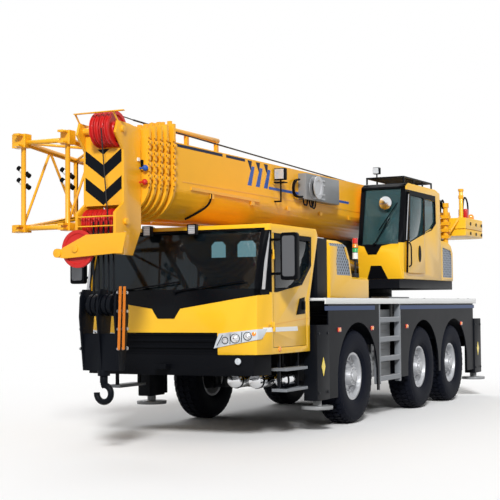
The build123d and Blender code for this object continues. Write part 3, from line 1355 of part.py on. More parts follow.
def hook():
    """The forged hook, free to turn under its block."""
    top = BLOCK_BOTTOM - 60 - SEAT_GAP
    shank = rod((FALL_X, BLOCK_Y, top - 80), (FALL_X, BLOCK_Y, top), 45)
    centre_z = HOOK_BOTTOM + BOWL_R + BOWL_THICK
    bowl = Pos(FALL_X, BLOCK_Y, centre_z) * Rot(0, 90, 0) * Torus(BOWL_R, BOWL_THICK)
    bowl -= block(FALL_X - 60, FALL_X + 60, BLOCK_Y - 140, BLOCK_Y - 15, centre_z + 10, centre_z + 200)
    neck = rod((FALL_X, BLOCK_Y, top - 60), (FALL_X, BLOCK_Y, centre_z + BOWL_R), 38)
    return fuse(shank, bowl, neck)


nodes["chassis_frame"] = chassis_frame()
nodes["deck"] = group(deck(), boom_rest())
nodes["side_panels"] = side_panels()
nodes["carrier_cab"] = carrier_cab()
nodes["carrier_cab_glass"] = carrier_glass()
nodes["front_bumper"] = front_bumper()
nodes["carrier_cab_interior"] = carrier_interior()
nodes["mirrors"] = mirrors()
nodes["ladders_and_steps"] = group(ladder(), cab_steps())
nodes["engine_hood"] = engine_hood()
nodes["engine_block"] = engine_block()
nodes["tanks"] = tanks()
nodes["carrier_lamps"] = group(carrier_lamps(), headlamps())
nodes["axle_beams"] = group(*[axle_beam(x, number + 1 in STEERED) for number, x in enumerate(AXLES)])

for number, axle_x in STEERED.items():
    for name, side in SIDES.items():
        nodes[f"knuckle_{number}_{name}"] = on_side(knuckle(axle_x), side)

for number, axle_x in enumerate(AXLES, start=1):
    for name, side in SIDES.items():
        nodes[f"tyre_{number}_{name}"] = on_side(tyre(axle_x), side)
        nodes[f"rim_{number}_{name}"] = on_side(rim(axle_x), side)

for name, side in SIDES.items():
    nodes[f"cab_door_{name}"] = carrier_door(side)

for place, box_x in BOXES.items():
    for name, side in SIDES.items():
        nodes[f"outrigger_beam_{place}_{name}"] = outrigger_beam(box_x, side)
        nodes[f"outrigger_jack_{place}_{name}"] = outrigger_jack(box_x, side)

nodes["turret_frame"] = turret_frame()
nodes["hoist_winch"] = winch()
nodes["operator_cab"] = operator_cab()
nodes["operator_cab_glass"] = operator_glass()
nodes["operator_cab_interior"] = operator_interior()
nodes["operator_door"] = operator_door()
nodes["side_hoods"] = side_hoods()
nodes["counterweight"] = counterweight()
nodes["boom_base"] = boom_base()
nodes["jib"] = jib()
for level in range(1, 5):
    nodes[f"boom_section_{level}"] = group(*section(level))
nodes["boom_head"] = boom_head()
nodes["sheaves"] = sheaves()
nodes["hook_block"] = hook_block()
nodes["hook"] = hook()
nodes["luffing_barrel"] = cylinder_barrel()
nodes["luffing_rod"] = cylinder_rod()

for name, shape in nodes.items():
    export_step(Pos(-ORIGIN_X, 0, 0) * shape, f"parts/{name}.step")
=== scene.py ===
# %% [markdown]
# This scene dresses a three-axle mobile crane. Its solid pieces come ready-made in a frame, at
# their real size, in metres: X points forward, Y to the crane's left and Z up. A reader who is
# learning Blender can run the cells in order. Each one adds one piece or one finish.

# %% Load the frame
import json
from math import cos, pi, radians, sin

import bmesh
import bpy
from mathutils import Matrix, Vector
from mathutils.bvhtree import BVHTree
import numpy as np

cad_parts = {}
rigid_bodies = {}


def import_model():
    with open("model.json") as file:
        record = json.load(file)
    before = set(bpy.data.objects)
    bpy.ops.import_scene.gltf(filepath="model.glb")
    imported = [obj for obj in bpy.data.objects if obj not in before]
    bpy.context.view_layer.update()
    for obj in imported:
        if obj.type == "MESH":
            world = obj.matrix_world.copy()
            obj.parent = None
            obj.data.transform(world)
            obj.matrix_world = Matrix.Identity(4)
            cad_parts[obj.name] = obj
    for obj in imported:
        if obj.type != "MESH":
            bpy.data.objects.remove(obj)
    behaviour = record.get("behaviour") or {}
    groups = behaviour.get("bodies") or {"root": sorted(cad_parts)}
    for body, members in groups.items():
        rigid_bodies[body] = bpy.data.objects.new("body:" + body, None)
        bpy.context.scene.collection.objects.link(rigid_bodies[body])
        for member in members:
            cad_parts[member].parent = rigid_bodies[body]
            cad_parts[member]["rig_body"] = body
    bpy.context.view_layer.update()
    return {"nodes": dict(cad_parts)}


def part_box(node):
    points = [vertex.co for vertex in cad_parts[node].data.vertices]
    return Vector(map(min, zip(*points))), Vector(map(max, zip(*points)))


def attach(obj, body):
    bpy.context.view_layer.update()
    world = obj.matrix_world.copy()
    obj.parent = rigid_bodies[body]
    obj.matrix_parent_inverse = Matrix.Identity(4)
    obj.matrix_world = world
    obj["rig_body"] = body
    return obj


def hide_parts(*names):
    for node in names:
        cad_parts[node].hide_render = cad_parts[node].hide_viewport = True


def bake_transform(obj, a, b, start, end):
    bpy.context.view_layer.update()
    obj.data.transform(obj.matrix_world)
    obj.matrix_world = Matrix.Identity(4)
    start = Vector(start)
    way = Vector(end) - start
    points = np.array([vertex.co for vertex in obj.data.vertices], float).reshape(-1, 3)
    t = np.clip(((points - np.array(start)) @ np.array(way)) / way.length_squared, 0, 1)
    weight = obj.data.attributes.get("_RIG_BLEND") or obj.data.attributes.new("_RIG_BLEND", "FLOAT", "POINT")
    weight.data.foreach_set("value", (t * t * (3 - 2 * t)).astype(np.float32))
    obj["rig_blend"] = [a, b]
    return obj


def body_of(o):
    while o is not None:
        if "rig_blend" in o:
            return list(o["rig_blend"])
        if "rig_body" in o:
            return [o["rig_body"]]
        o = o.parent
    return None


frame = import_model()
nodes = frame["nodes"]

# %% [markdown]
# The frame's origin is under the middle of the crane, while its places were measured from the
# front axle. AXLE_X is where that axle lies, so a measured X is moved by it once, here. Later
# cells give a place as three measured numbers, and a Vector is a place in the frame already.

# %% Measured places
wheel_low, wheel_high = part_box("tyre_1_left")
AXLE_X = (wheel_low.x + wheel_high.x) / 2
TYRE_R = (wheel_high.z - wheel_low.z) / 2
WHEEL_Y = (wheel_low.y + wheel_high.y) / 2
SIDES = {"left": 1, "right": -1}


def placed(point):
    """A point in the frame, from a Vector or from three numbers measured from the front axle."""
    return point if isinstance(point, Vector) else Vector((point[0] + AXLE_X, point[1], point[2]))


# %% [markdown]
# The camera stands in front of the crane on its left, at chest height, with a long lens. Its
# place, turn and lens were fitted to the wheels, the deck and the cab in the photograph.

# %% Camera
CAMERA_AT = (16.266, 7.859, 1.662)
CAMERA_YAW = 3.60910
CAMERA_PITCH = 0.045925
CAMERA_ROLL = -0.0081219
LENS_MM = 88.48
FAR_M = 300.0


def add_object(name, data):
    made = bpy.data.objects.new(name, data)
    bpy.context.scene.collection.objects.link(made)
    return made


def add_camera():
    forward = Vector((
        cos(CAMERA_PITCH) * cos(CAMERA_YAW), cos(CAMERA_PITCH) * sin(CAMERA_YAW), sin(CAMERA_PITCH)))
    right = Vector((sin(CAMERA_YAW), -cos(CAMERA_YAW), 0.0))
    up = right.cross(forward)
    rolled_right = cos(CAMERA_ROLL) * right + sin(CAMERA_ROLL) * up
    rolled_up = cos(CAMERA_ROLL) * up - sin(CAMERA_ROLL) * right
    data = bpy.data.cameras.new("camera")
    data.lens = LENS_MM
    data.clip_end = FAR_M
    camera = add_object("camera", data)
    turn = Matrix((rolled_right, rolled_up, -forward)).transposed()
    camera.matrix_world = Matrix.Translation(placed(CAMERA_AT)) @ turn.to_4x4()
    bpy.context.scene.camera = camera


add_camera()

# %% [markdown]
# A node tree is easier to read when one small function adds a node, sets what is constant on its
# own sockets and links the rest. A socket given by another node's output is linked, and anything
# else is written into it as a value.

# %% Node helpers
def fill(node, inputs):
    """Link or write each value into the socket of that name or number."""
    for key, value in inputs.items():
        if isinstance(value, bpy.types.NodeSocket):
            node.id_data.links.new(value, node.inputs[key])
        else:
            node.inputs[key].default_value = value


def add_node(tree, kind, inputs=None, **settings):
    """A node of a kind, with its settings and its sockets filled in."""
    node = tree.nodes.new(kind)
    for name, value in settings.items():
        setattr(node, name, value)
    fill(node, inputs or {})
    return node


def maths(tree, operation, *values):
    """One Math node, by its output."""
    return add_node(tree, "ShaderNodeMath", dict(enumerate(values)), operation=operation).outputs[0]


def mix_colours(tree, share, low, high):
    return add_node(tree, "ShaderNodeMix", {0: share, 6: low, 7: high}, data_type="RGBA").outputs[2]


def noise(tree, place, scale, detail, roughness):
    return add_node(tree, "ShaderNodeTexNoise", {
        "Vector": place, "Scale": scale, "Detail": detail, "Roughness": roughness}).outputs["Fac"]


def object_place(tree):
    return add_node(tree, "ShaderNodeTexCoord").outputs["Object"]


def new_material(name):
    material = bpy.data.materials.new(name)
    material.use_nodes = True
    return material, material.node_tree.nodes["Principled BSDF"]


# %% [markdown]
# The studio is a white room: the camera, mirror-like metal and glass see plain white, while the
# light that falls on the crane is a softer grey from all round and two broad suns. The floor
# keeps the crane's shadow close by and turns to plain white further off, so no horizon shows.
# To falling light the floor is a mid grey, which keeps the undersides as deep as they are.

# %% Floor, world and lamps
FLOOR_HALF = 140.0
FLOOR_WHITE = 0.93
FADE_FROM = 7.0
FADE_TO = 16.0
AMBIENT = 0.42
BOUNCE = 0.42
WHITE = (1, 1, 1, 1)
# Each row is name, strength, soft angle in degrees, and the direction that the light comes from.
SUNS = [
    ("key", 3.1, 10.0, (0.76, 0.38, 0.50)),
    ("fill", 0.7, 40.0, (-0.55, -0.45, 0.70)),
]


def seen_directly(tree):
    """One where the camera, a reflection or a pane looks at a surface, zero for falling light."""
    path = tree.nodes.new("ShaderNodeLightPath")
    first = maths(tree, "MAXIMUM", path.outputs["Is Camera Ray"], path.outputs["Is Glossy Ray"])
    return maths(tree, "MAXIMUM", first, path.outputs["Is Transmission Ray"])


def add_floor():
    mesh = bpy.data.meshes.new("floor")
    bm = bmesh.new()
    bmesh.ops.create_grid(bm, x_segments=1, y_segments=1, size=FLOOR_HALF)
    bm.to_mesh(mesh)
    bm.free()
    floor = add_object("floor", mesh)
    material = new_material("floor_white")[0]
    tree = material.node_tree
    tree.nodes.clear()
    distance = add_node(tree, "ShaderNodeVectorMath", {0: object_place(tree)}, operation="LENGTH")
    fade = add_node(tree, "ShaderNodeMapRange", {
        "Value": distance.outputs["Value"], "From Min": FADE_FROM, "From Max": FADE_TO},
        interpolation_type="SMOOTHSTEP")
    share = maths(tree, "MULTIPLY", fade.outputs[0], seen_directly(tree))
    shown = mix_colours(tree, seen_directly(tree), (BOUNCE,) * 3 + (1,), (FLOOR_WHITE,) * 3 + (1,))
    matt = add_node(tree, "ShaderNodeBsdfDiffuse", {"Color": shown})
    glow = add_node(tree, "ShaderNodeEmission", {"Color": WHITE, "Strength": 1.0})
    mix = add_node(tree, "ShaderNodeMixShader", {0: share, 1: matt.outputs[0], 2: glow.outputs[0]})
    add_node(tree, "ShaderNodeOutputMaterial", {"Surface": mix.outputs[0]})
    mesh.materials.append(material)


def add_world():
    world = bpy.data.worlds.new("studio")
    bpy.context.scene.world = world
    world.use_nodes = True
    tree = world.node_tree
    tree.nodes.clear()
    soft, white = [
        add_node(tree, "ShaderNodeBackground", {"Color": WHITE, "Strength": level}).outputs[0]
        for level in (AMBIENT, 1.0)]
    mix = add_node(tree, "ShaderNodeMixShader", {0: seen_directly(tree), 1: soft, 2: white})
    add_node(tree, "ShaderNodeOutputWorld", {"Surface": mix.outputs[0]})


def add_suns():
    for name, strength, angle, direction in SUNS:
        data = bpy.data.lights.new(name, "SUN")
        data.energy = strength
        data.angle = radians(angle)
        sun = add_object(name, data)
        sun.rotation_mode = "QUATERNION"
        sun.rotation_quaternion = Vector(direction).to_track_quat("Z", "Y")


add_floor()
add_world()
add_suns()
bpy.context.scene.view_settings.view_transform = "Standard"

# %% [markdown]
# Every finish on the crane shares two effects. "weathering" takes a plain colour and gives it the
# slow variation of sprayed paint and a patchy veil of road dust that thickens
# towards the ground. "pebble" makes the tiny relief of paint, casting or rubber as a height.

# %% Shared effects as node groups
FLOAT = "NodeSocketFloat"
COLOUR = "NodeSocketColor"


def new_group(name, inputs, outputs):
    """A shader group with its sockets: rows of name, kind and starting value."""
    group = bpy.data.node_groups.new(name, "ShaderNodeTree")
    for socket_name, kind, value in inputs:
        socket = group.interface.new_socket(name=socket_name, in_out="INPUT", socket_type=kind)
        socket.default_value = value
    for socket_name, kind in outputs:
        group.interface.new_socket(name=socket_name, in_out="OUTPUT", socket_type=kind)
    return group, group.nodes.new("NodeGroupInput").outputs, group.nodes.new("NodeGroupOutput")


def make_weathering():
    group, given, result = new_group("weathering", [
        ("Colour", COLOUR, (0.8, 0.8, 0.8, 1)), ("Dust colour", COLOUR, (0.42, 0.37, 0.30, 1)),
        ("Variation", FLOAT, 0.08), ("Dust", FLOAT, 0.3), ("Dust height", FLOAT, 1.4),
        ("Roughness", FLOAT, 0.35),
    ], [("Colour", COLOUR), ("Roughness", FLOAT)])
    place = object_place(group)
    slow = noise(group, place, 1.7, 5.0, 0.6)
    fine = noise(group, place, 46.0, 3.0, 0.7)
    swing = maths(group, "MULTIPLY", maths(group, "SUBTRACT", slow, 0.5), given["Variation"])
    bright = maths(group, "ADD", maths(group, "MULTIPLY", swing, 2.0), 1.0)
    shaded = add_node(group, "ShaderNodeVectorMath", {
        0: given["Colour"], "Scale": bright}, operation="SCALE").outputs[0]
    height = add_node(group, "ShaderNodeSeparateXYZ", {0: place}).outputs["Z"]
    low = add_node(group, "ShaderNodeMapRange", {
        "Value": height, "From Min": 0.0, "From Max": given["Dust height"],
        "To Min": 1.0, "To Max": 0.0}).outputs[0]
    patchy = add_node(group, "ShaderNodeMapRange", {
        "Value": maths(group, "MULTIPLY", slow, fine), "From Min": 0.12, "From Max": 0.42}).outputs[0]
    veil = maths(group, "MULTIPLY", maths(group, "MULTIPLY", low, patchy), given["Dust"])
    rough = maths(group, "ADD", given["Roughness"], maths(group, "MULTIPLY", swing, 1.2))
    fill(result, {
        "Colour": mix_colours(group, veil, shaded, given["Dust colour"]),
        "Roughness": maths(group, "ADD", rough, maths(group, "MULTIPLY", veil, 0.5))})
    return group


def make_pebble():
    group, given, result = new_group("pebble", [
        ("Scale", FLOAT, 300.0), ("Roughness", FLOAT, 0.5)], [("Height", FLOAT)])
    fill(result, {"Height": noise(group, object_place(group), given["Scale"], 2.0, given["Roughness"])})
    return group


weathering = make_weathering()
pebble = make_pebble()

# %% [markdown]
# One function turns a short row of values into a finish: a colour, how rough and how metallic it
# is, a clear coat, how much dust lies on it and how deep its tiny relief is. The table below has
# one row for each real finish on the crane.

# %% Finishes
COAT_ROUGHNESS = 0.12
RELIEF_M = 0.002


def new_finish(name, colour, rough, metal, coat, vary, dust, relief, grain, gloss):
    """A material from one row; gloss is how strongly it mirrors its surroundings."""
    material, shader = new_material(name)
    tree = material.node_tree
    worn = add_node(tree, "ShaderNodeGroup", {
        "Colour": (*colour, 1), "Variation": vary, "Dust": dust, "Roughness": rough},
        node_tree=weathering, name="worn")
    grit = add_node(tree, "ShaderNodeGroup", {"Scale": grain}, node_tree=pebble)
    bump = add_node(tree, "ShaderNodeBump", {
        "Strength": relief, "Distance": RELIEF_M, "Height": grit.outputs["Height"]})
    fill(shader, {
        "Metallic": metal, "Specular IOR Level": gloss, "Coat Weight": coat,
        "Coat Roughness": COAT_ROUGHNESS, "Base Color": worn.outputs["Colour"],
        "Roughness": worn.outputs["Roughness"], "Normal": bump.outputs["Normal"]})
    return material


# Each row is name, colour, roughness, metallic, coat, variation, dust, relief, grain and gloss.
FINISHES = [
    ("yellow_paint", (0.93, 0.52, 0.016), 0.34, 0.0, 0.25, 0.05, 0.15, 0.03, 240.0, 0.35),
    ("boom_paint", (0.88, 0.42, 0.014), 0.36, 0.0, 0.20, 0.07, 0.08, 0.03, 240.0, 0.35),
    ("black_paint", (0.0035, 0.0045, 0.0070), 0.42, 0.0, 0.0, 0.10, 0.012, 0.06, 300.0, 0.07),
    ("black_plastic", (0.0025, 0.003, 0.0045), 0.50, 0.0, 0.0, 0.06, 0.008, 0.12, 500.0, 0.05),
    ("mask_black", (0.0022, 0.0030, 0.0045), 0.25, 0.0, 0.0, 0.03, 0.0, 0.02, 240.0, 0.10),
    ("dark_grey", (0.016, 0.018, 0.022), 0.50, 0.0, 0.0, 0.08, 0.02, 0.10, 400.0, 0.15),
    ("mirror_grey", (0.105, 0.110, 0.120), 0.45, 0.0, 0.0, 0.05, 0.02, 0.05, 300.0, 0.3),
    ("step_grey", (0.20, 0.215, 0.235), 0.45, 0.2, 0.0, 0.08, 0.05, 0.10, 300.0, 0.4),
    ("grey_paint", (0.24, 0.25, 0.26), 0.42, 0.0, 0.1, 0.06, 0.15, 0.05, 300.0, 0.4),
    ("white_paint", (0.82, 0.83, 0.82), 0.40, 0.0, 0.2, 0.04, 0.10, 0.04, 300.0, 0.4),
    ("steel", (0.40, 0.41, 0.43), 0.36, 0.9, 0.0, 0.10, 0.15, 0.08, 420.0, 0.5),
    ("chrome", (0.75, 0.76, 0.78), 0.12, 1.0, 0.0, 0.03, 0.05, 0.01, 420.0, 0.5),
    ("aluminium", (0.50, 0.51, 0.53), 0.38, 0.45, 0.0, 0.08, 0.05, 0.10, 350.0, 0.5),
    ("rubber", (0.0035, 0.005, 0.011), 0.62, 0.0, 0.0, 0.12, 0.025, 0.25, 240.0, 0.06),
    ("red_sheave", (0.55, 0.012, 0.010), 0.40, 0.0, 0.15, 0.06, 0.03, 0.04, 260.0, 0.35),
    # The next row is the dark red of the painted shadows below the collar bolts.
    ("painted_bolt_shadow", (0.16, 0.035, 0.008), 0.60, 0.0, 0.0, 0.10, 0.02, 0.10, 300.0, 0.1),
    ("rope", (0.02, 0.02, 0.022), 0.55, 0.2, 0.0, 0.15, 0.05, 0.30, 600.0, 0.3),
    ("orange_strap", (0.85, 0.24, 0.02), 0.60, 0.0, 0.0, 0.10, 0.10, 0.30, 500.0, 0.3),
    ("navy_paint", (0.005, 0.011, 0.045), 0.40, 0.0, 0.0, 0.04, 0.01, 0.03, 240.0, 0.12),
    ("film_blue", (0.010, 0.038, 0.130), 0.38, 0.0, 0.0, 0.04, 0.02, 0.03, 240.0, 0.2),
    ("blue_paint", (0.025, 0.10, 0.42), 0.38, 0.0, 0.0, 0.04, 0.02, 0.03, 240.0, 0.25),
    ("amber_lens", (0.95, 0.30, 0.02), 0.15, 0.0, 0.6, 0.02, 0.05, 0.02, 240.0, 0.5),
    ("red_lens", (0.65, 0.02, 0.015), 0.15, 0.0, 0.6, 0.02, 0.05, 0.02, 240.0, 0.5),
    ("green_lens", (0.02, 0.42, 0.12), 0.15, 0.0, 0.6, 0.02, 0.05, 0.02, 240.0, 0.5),
    ("yellow_reflector", (0.95, 0.70, 0.02), 0.20, 0.0, 0.5, 0.02, 0.05, 0.05, 240.0, 0.5),
    ("lamp_face", (0.62, 0.66, 0.70), 0.18, 0.35, 0.5, 0.10, 0.02, 0.30, 60.0, 0.5),
    ("glowing_daylight_pane", (0.62, 0.74, 0.62), 0.5, 0.0, 0.0, 0.03, 0.0, 0.02, 240.0, 0.1),
    ("mesh_screen", (0.26, 0.30, 0.36), 0.45, 0.3, 0.0, 0.10, 0.05, 0.2, 500.0, 0.4),
]
finish = {row[0]: new_finish(*row) for row in FINISHES}
print("finishes", len(finish))

# %% [markdown]
# A pane of glass lets most of the light through and tints it. Its gloss is kept low, so that the
# white studio doesn't wash the dark windows out. The panes at the cab's back glow a little by
# themselves, as daylight shines through them from behind.

# %% Glass
GLASS_ROUGHNESS = 0.03
GLASS_IOR = 1.35
# Each row is name, tint, clear share and gloss.
GLASSES = [
    ("cab_glass", (0.045, 0.080, 0.105), 0.92, 0.02),
    ("operator_glass", (0.12, 0.29, 0.32), 0.82, 0.12),
]
for name, tint, clear, gloss in GLASSES:
    finish[name], shader = new_material(name)
    fill(shader, {
        "Base Color": (*tint, 1), "Roughness": GLASS_ROUGHNESS, "IOR": GLASS_IOR,
        "Specular IOR Level": gloss, "Transmission Weight": clear})
fill(finish["glowing_daylight_pane"].node_tree.nodes["Principled BSDF"], {
    "Emission Color": (0.75, 0.86, 0.74, 1), "Emission Strength": 4.0})

# %% [markdown]
# The engine hood breathes through panels of woven wire. Two slanted sets of fine lines, one the
# mirror of the other, make the weave: where neither runs, the gap is painted dark, as painted shade
# of the space behind it.

# %% Wire mesh
MESH_GAP_SHADE = (0.02, 0.024, 0.032, 1)
MESH_PITCH = 0.080
MESH_WIRE = 0.10


def weave(material):
    """Turn a plain finish into a woven screen of wires over gaps of painted shade."""
    tree = material.node_tree
    place = add_node(tree, "ShaderNodeSeparateXYZ", {0: object_place(tree)}).outputs
    lines = []
    for lean in (1.0, -1.0):
        run = maths(tree, "ADD", place["X"], maths(tree, "MULTIPLY", place["Z"], lean))
        wave = maths(tree, "SINE", maths(tree, "MULTIPLY", run, 2 * pi / MESH_PITCH))
        lines.append(maths(tree, "GREATER_THAN", wave, MESH_WIRE))
    woven, wire = maths(tree, "MAXIMUM", *lines), tree.nodes["worn"].outputs["Colour"]
    fill(tree.nodes["Principled BSDF"], {"Base Color": mix_colours(tree, woven, MESH_GAP_SHADE, wire)})


weave(finish["mesh_screen"])

# %% [markdown]
# Each ready-made node gets the finish of the real piece. A table of name beginnings keeps this
# short: the first row that fits a node's name is the one that counts.

# %% Finishes of the ready-made nodes
NODE_FINISH = [
    ("tyre", "rubber"), ("rim", "aluminium"), ("knuckle", "dark_grey"), ("axle_beams", "dark_grey"),
    ("outrigger_jack", "grey_paint"), ("outrigger", "black_paint"), ("chassis", "black_paint"),
    ("side_panels", "black_paint"), ("front_bumper", "black_plastic"), ("mirrors", "black_plastic"),
    ("ladders", "step_grey"), ("tanks", "aluminium"), ("carrier_cab_glass", "cab_glass"),
    ("carrier_cab_interior", "black_plastic"), ("carrier_cab", "yellow_paint"),
    ("cab_door", "yellow_paint"), ("carrier_lamps", "dark_grey"), ("engine_block", "dark_grey"),
    ("engine_hood", "yellow_paint"),
    ("deck", "white_paint"), ("turret_frame", "black_paint"), ("hoist_winch", "dark_grey"),
    ("operator_cab_glass", "operator_glass"), ("operator_cab_interior", "black_plastic"),
    ("operator", "yellow_paint"), ("side_hoods", "yellow_paint"), ("counterweight", "yellow_paint"),
    ("boom", "boom_paint"), ("jib", "boom_paint"), ("sheaves", "red_sheave"), ("hook", "black_paint"),
    ("luffing_barrel", "boom_paint"), ("luffing_rod", "chrome"),
]


def finish_of(node_name):
    return next(look for start, look in NODE_FINISH if node_name.startswith(start))


for name, node in nodes.items():
    for slot in node.material_slots:
        slot.material = finish[finish_of(name)]

# %% [markdown]
# The pieces that follow are drawn as bmeshes and become objects here. Normals are turned outwards,
# shading is smooth except at real edges, and each piece rides on a body, so it moves with it.

# %% From a bmesh to a piece
SHARP_ANGLE = radians(33)


def round_edges(bm, width, segments=2):
    """Round every sharp edge of what is drawn so far."""
    edges = [edge for edge in bm.edges if edge.is_manifold and edge.calc_face_angle() > SHARP_ANGLE]
    bmesh.ops.bevel(
        bm, geom=edges, offset=width, segments=segments, affect="EDGES", profile=0.5, material=-1,
        clamp_overlap=True)


def mesh_of(name, bm):
    mesh = bpy.data.meshes.new(name)
    bm.to_mesh(mesh)
    bm.free()
    mesh.shade_smooth()
    return mesh


def mount(name, body, look, data):
    """An object from a mesh or a curve, which rides on a body."""
    data.materials.append(finish[look])
    piece = add_object(name, data)
    if body:
        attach(piece, body)
    return piece


def make_piece(name, body, look, bm, rounded=0.0):
    """A finished object from a bmesh, with rounded edges where a radius is given."""
    if rounded:
        round_edges(bm, rounded)
    bmesh.ops.recalc_face_normals(bm, faces=bm.faces)
    mesh = mesh_of(name, bm)
    mesh.set_sharp_from_angle(angle=SHARP_ANGLE)
    return mount(name, body, look, mesh)


# %% Shapes to draw with
# A turned outline ends this near its axis, so that the pole is closed by a ring too small to see.
POLE = 0.0001


def add_block(bm, corner, opposite):
    """A box between two opposite corners."""
    corner, opposite = placed(corner), placed(opposite)
    size = [abs(length) for length in opposite - corner]
    matrix = Matrix.Translation((corner + opposite) / 2) @ Matrix.Diagonal((*size, 1.0))
    bmesh.ops.create_cube(bm, size=1.0, matrix=matrix)


def add_rod(bm, start, end, radius, sides=12, tip=None):
    """A straight round bar; tip is another radius at its end."""
    start, end = placed(start), placed(end)
    line = end - start
    turn = line.to_track_quat("Z", "Y").to_matrix().to_4x4()
    bmesh.ops.create_cone(
        bm, cap_ends=True, segments=sides, radius1=radius, radius2=radius if tip is None else tip,
        depth=line.length, matrix=Matrix.Translation((start + end) / 2) @ turn)


def add_stud(bm, foot, reach, radius, sides=6, tip=None):
    """A short bar from its foot along a direction, such as a bolt's head."""
    add_rod(bm, foot, placed(foot) + Vector(reach), radius, sides, tip)


def thicken(bm, faces, push):
    """Give faces their thickness by one push."""
    grown = bmesh.ops.extrude_face_region(bm, geom=faces)["geom"]
    moved = [part for part in grown if isinstance(part, bmesh.types.BMVert)]
    bmesh.ops.translate(bm, verts=moved, vec=Vector(push))


def add_slab(bm, points, push):
    """A plate from a flat outline."""
    thicken(bm, [bm.faces.new([bm.verts.new(placed(point)) for point in points])], push)


def add_side_plate(bm, outline, side, y, thick):
    """An outline of X and Z on one side of the crane, which grows outwards."""
    add_slab(bm, [(x, side * y, z) for x, z in outline], (0, side * thick, 0))


def add_front_plate(bm, outline, x, thick):
    """An outline of Y and Z, which grows forwards."""
    add_slab(bm, [(x, y, z) for y, z in outline], (thick, 0, 0))


def add_turned(bm, middle, axis, outline, steps=24):
    """A closed outline of radius and distance along an axis, spun round that axis."""
    middle, axis = placed(middle), Vector(axis).normalized()
    turn = axis.to_track_quat("Z", "Y").to_matrix()
    verts = [bm.verts.new(middle + turn @ Vector((radius, 0, along))) for radius, along in outline]
    edges = [bm.edges.new(pair) for pair in zip(verts, verts[1:] + verts[:1])]
    bmesh.ops.spin(
        bm, geom=verts + edges, cent=middle, axis=axis, angle=2 * pi, steps=steps, use_merge=True)


def rectangle(a0, a1, z0, z1):
    return [(a0, z0), (a1, z0), (a1, z1), (a0, z1)]


def slanted(foot, head, half):
    """A leaning strip between two middles, as wide as twice half."""
    (x0, z0), (x1, z1) = foot, head
    return [(x0 - half, z0), (x0 + half, z0), (x1 + half, z1), (x1 - half, z1)]


# %% Pieces of one kind of shape
def make_each(add, name, body, look, rows, rounded=0.0):
    """One piece from rows of what a shape's function takes."""
    bm = bmesh.new()
    for row in rows:
        add(bm, *row)
    return make_piece(name, body, look, bm, rounded)


def make_tube(name, body, points, radius):
    """A bent tube or a fixed hose on a smooth line through its bends."""
    curve = bpy.data.curves.new(name, "CURVE")
    curve.dimensions = "3D"
    curve.bevel_depth = radius
    curve.bevel_resolution = 2
    curve.use_fill_caps = True
    curve.resolution_u = 6
    spline = curve.splines.new("NURBS")
    spline.points.add(len(points) - 1)
    for control, point in zip(spline.points, points):
        control.co = (*placed(point), 1.0)
    spline.order_u = 3
    spline.use_endpoint_u = True
    return mount(name, body, "black_plastic", curve)


# %% [markdown]
# Sheet metal never ends in a knife edge. A ready-made node may not be changed, so a copy of it gets
# rounded edges and stands in for it. Boxes in a table then give parts of that copy another finish.

# %% Rounded copies of the ready-made nodes
MERGE_M = 0.00002
FLAT_ANGLE = radians(0.7)
FOLD_ANGLE = radians(30)


def bmesh_of(node_name):
    """A bmesh of a ready-made node with its loose triangles merged."""
    bm = bmesh.new()
    bm.from_mesh(nodes[node_name].data)
    bmesh.ops.remove_doubles(bm, verts=bm.verts, dist=MERGE_M)
    return bm


def soften(name, width, regions=()):
    """A copy of a node with rounded edges; each region is a finish and the two corners of a box."""
    bm = bmesh_of(name)
    bmesh.ops.dissolve_limit(bm, angle_limit=FLAT_ANGLE, verts=bm.verts, edges=bm.edges)
    looks = [finish_of(name)]
    for look, corner, opposite in regions:
        if look not in looks:
            looks.append(look)
        limits = [sorted(pair) for pair in zip(placed(corner), placed(opposite))]
        for face in bm.faces:
            middle = face.calc_center_median()
            if all(low <= value <= high for value, (low, high) in zip(middle, limits)):
                face.material_index = looks.index(look)
    mesh = mesh_of(f"soft_{name}", bm)
    for look in looks:
        mesh.materials.append(finish[look])
    piece = add_object(f"soft_{name}", mesh)
    edges = piece.modifiers.new("rounded edges", "BEVEL")
    edges.width = width
    edges.segments = 2
    edges.limit_method = "ANGLE"
    edges.angle_limit = FOLD_ANGLE
    edges.use_clamp_overlap = True
    edges.harden_normals = True
    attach(piece, body_of(nodes[name])[0])
    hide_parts(name)


# %% [markdown]
# Each wheel wears a wide tyre with blocks of tread. The tyre's body is one outline spun round the
# axle, and the blocks are small cubes set round it in rows, each turned a little so that the pattern
# looks like the chevrons of a real all-terrain tyre. They stay inside the tyre's ready-made size.

# %% Tyres with tread
TREAD_DEPTH = 0.020
TREAD_SINK = 0.002
BLOCKS_ROUND = 42
BLOCK_HALF = 0.036
BLOCK_LENGTH = 1.40 * pi * TYRE_R / BLOCKS_ROUND
# Each row of blocks is its distance from the tyre's middle, its turn in degrees and its shift in blocks.
TREAD_ROWS = [(-0.144, -10.0, 0.0), (-0.052, 20.0, 0.5), (0.052, 20.0, 0.5), (0.144, -10.0, 0.0)]
TYRE_SIDE = [
    (0.332, 0.132), (0.350, 0.150), (0.372, 0.166), (0.385, 0.170), (0.390, 0.176), (0.450, 0.1895),
    (0.520, 0.1920), (0.575, 0.1880), (0.585, 0.1840), (0.606, 0.1820), (0.622, 0.1740), (0.638, 0.1590),
    (0.643, 0.080),
]
# The tyre's shoulder is a straight line between these two points of radius and distance.
SHOULDER = ((0.664, 0.1475), (0.620, 0.1800))
AXLES = {}
for number in (1, 2, 3):
    low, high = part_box(f"tyre_{number}_left")
    AXLES[number] = (low.x + high.x) / 2


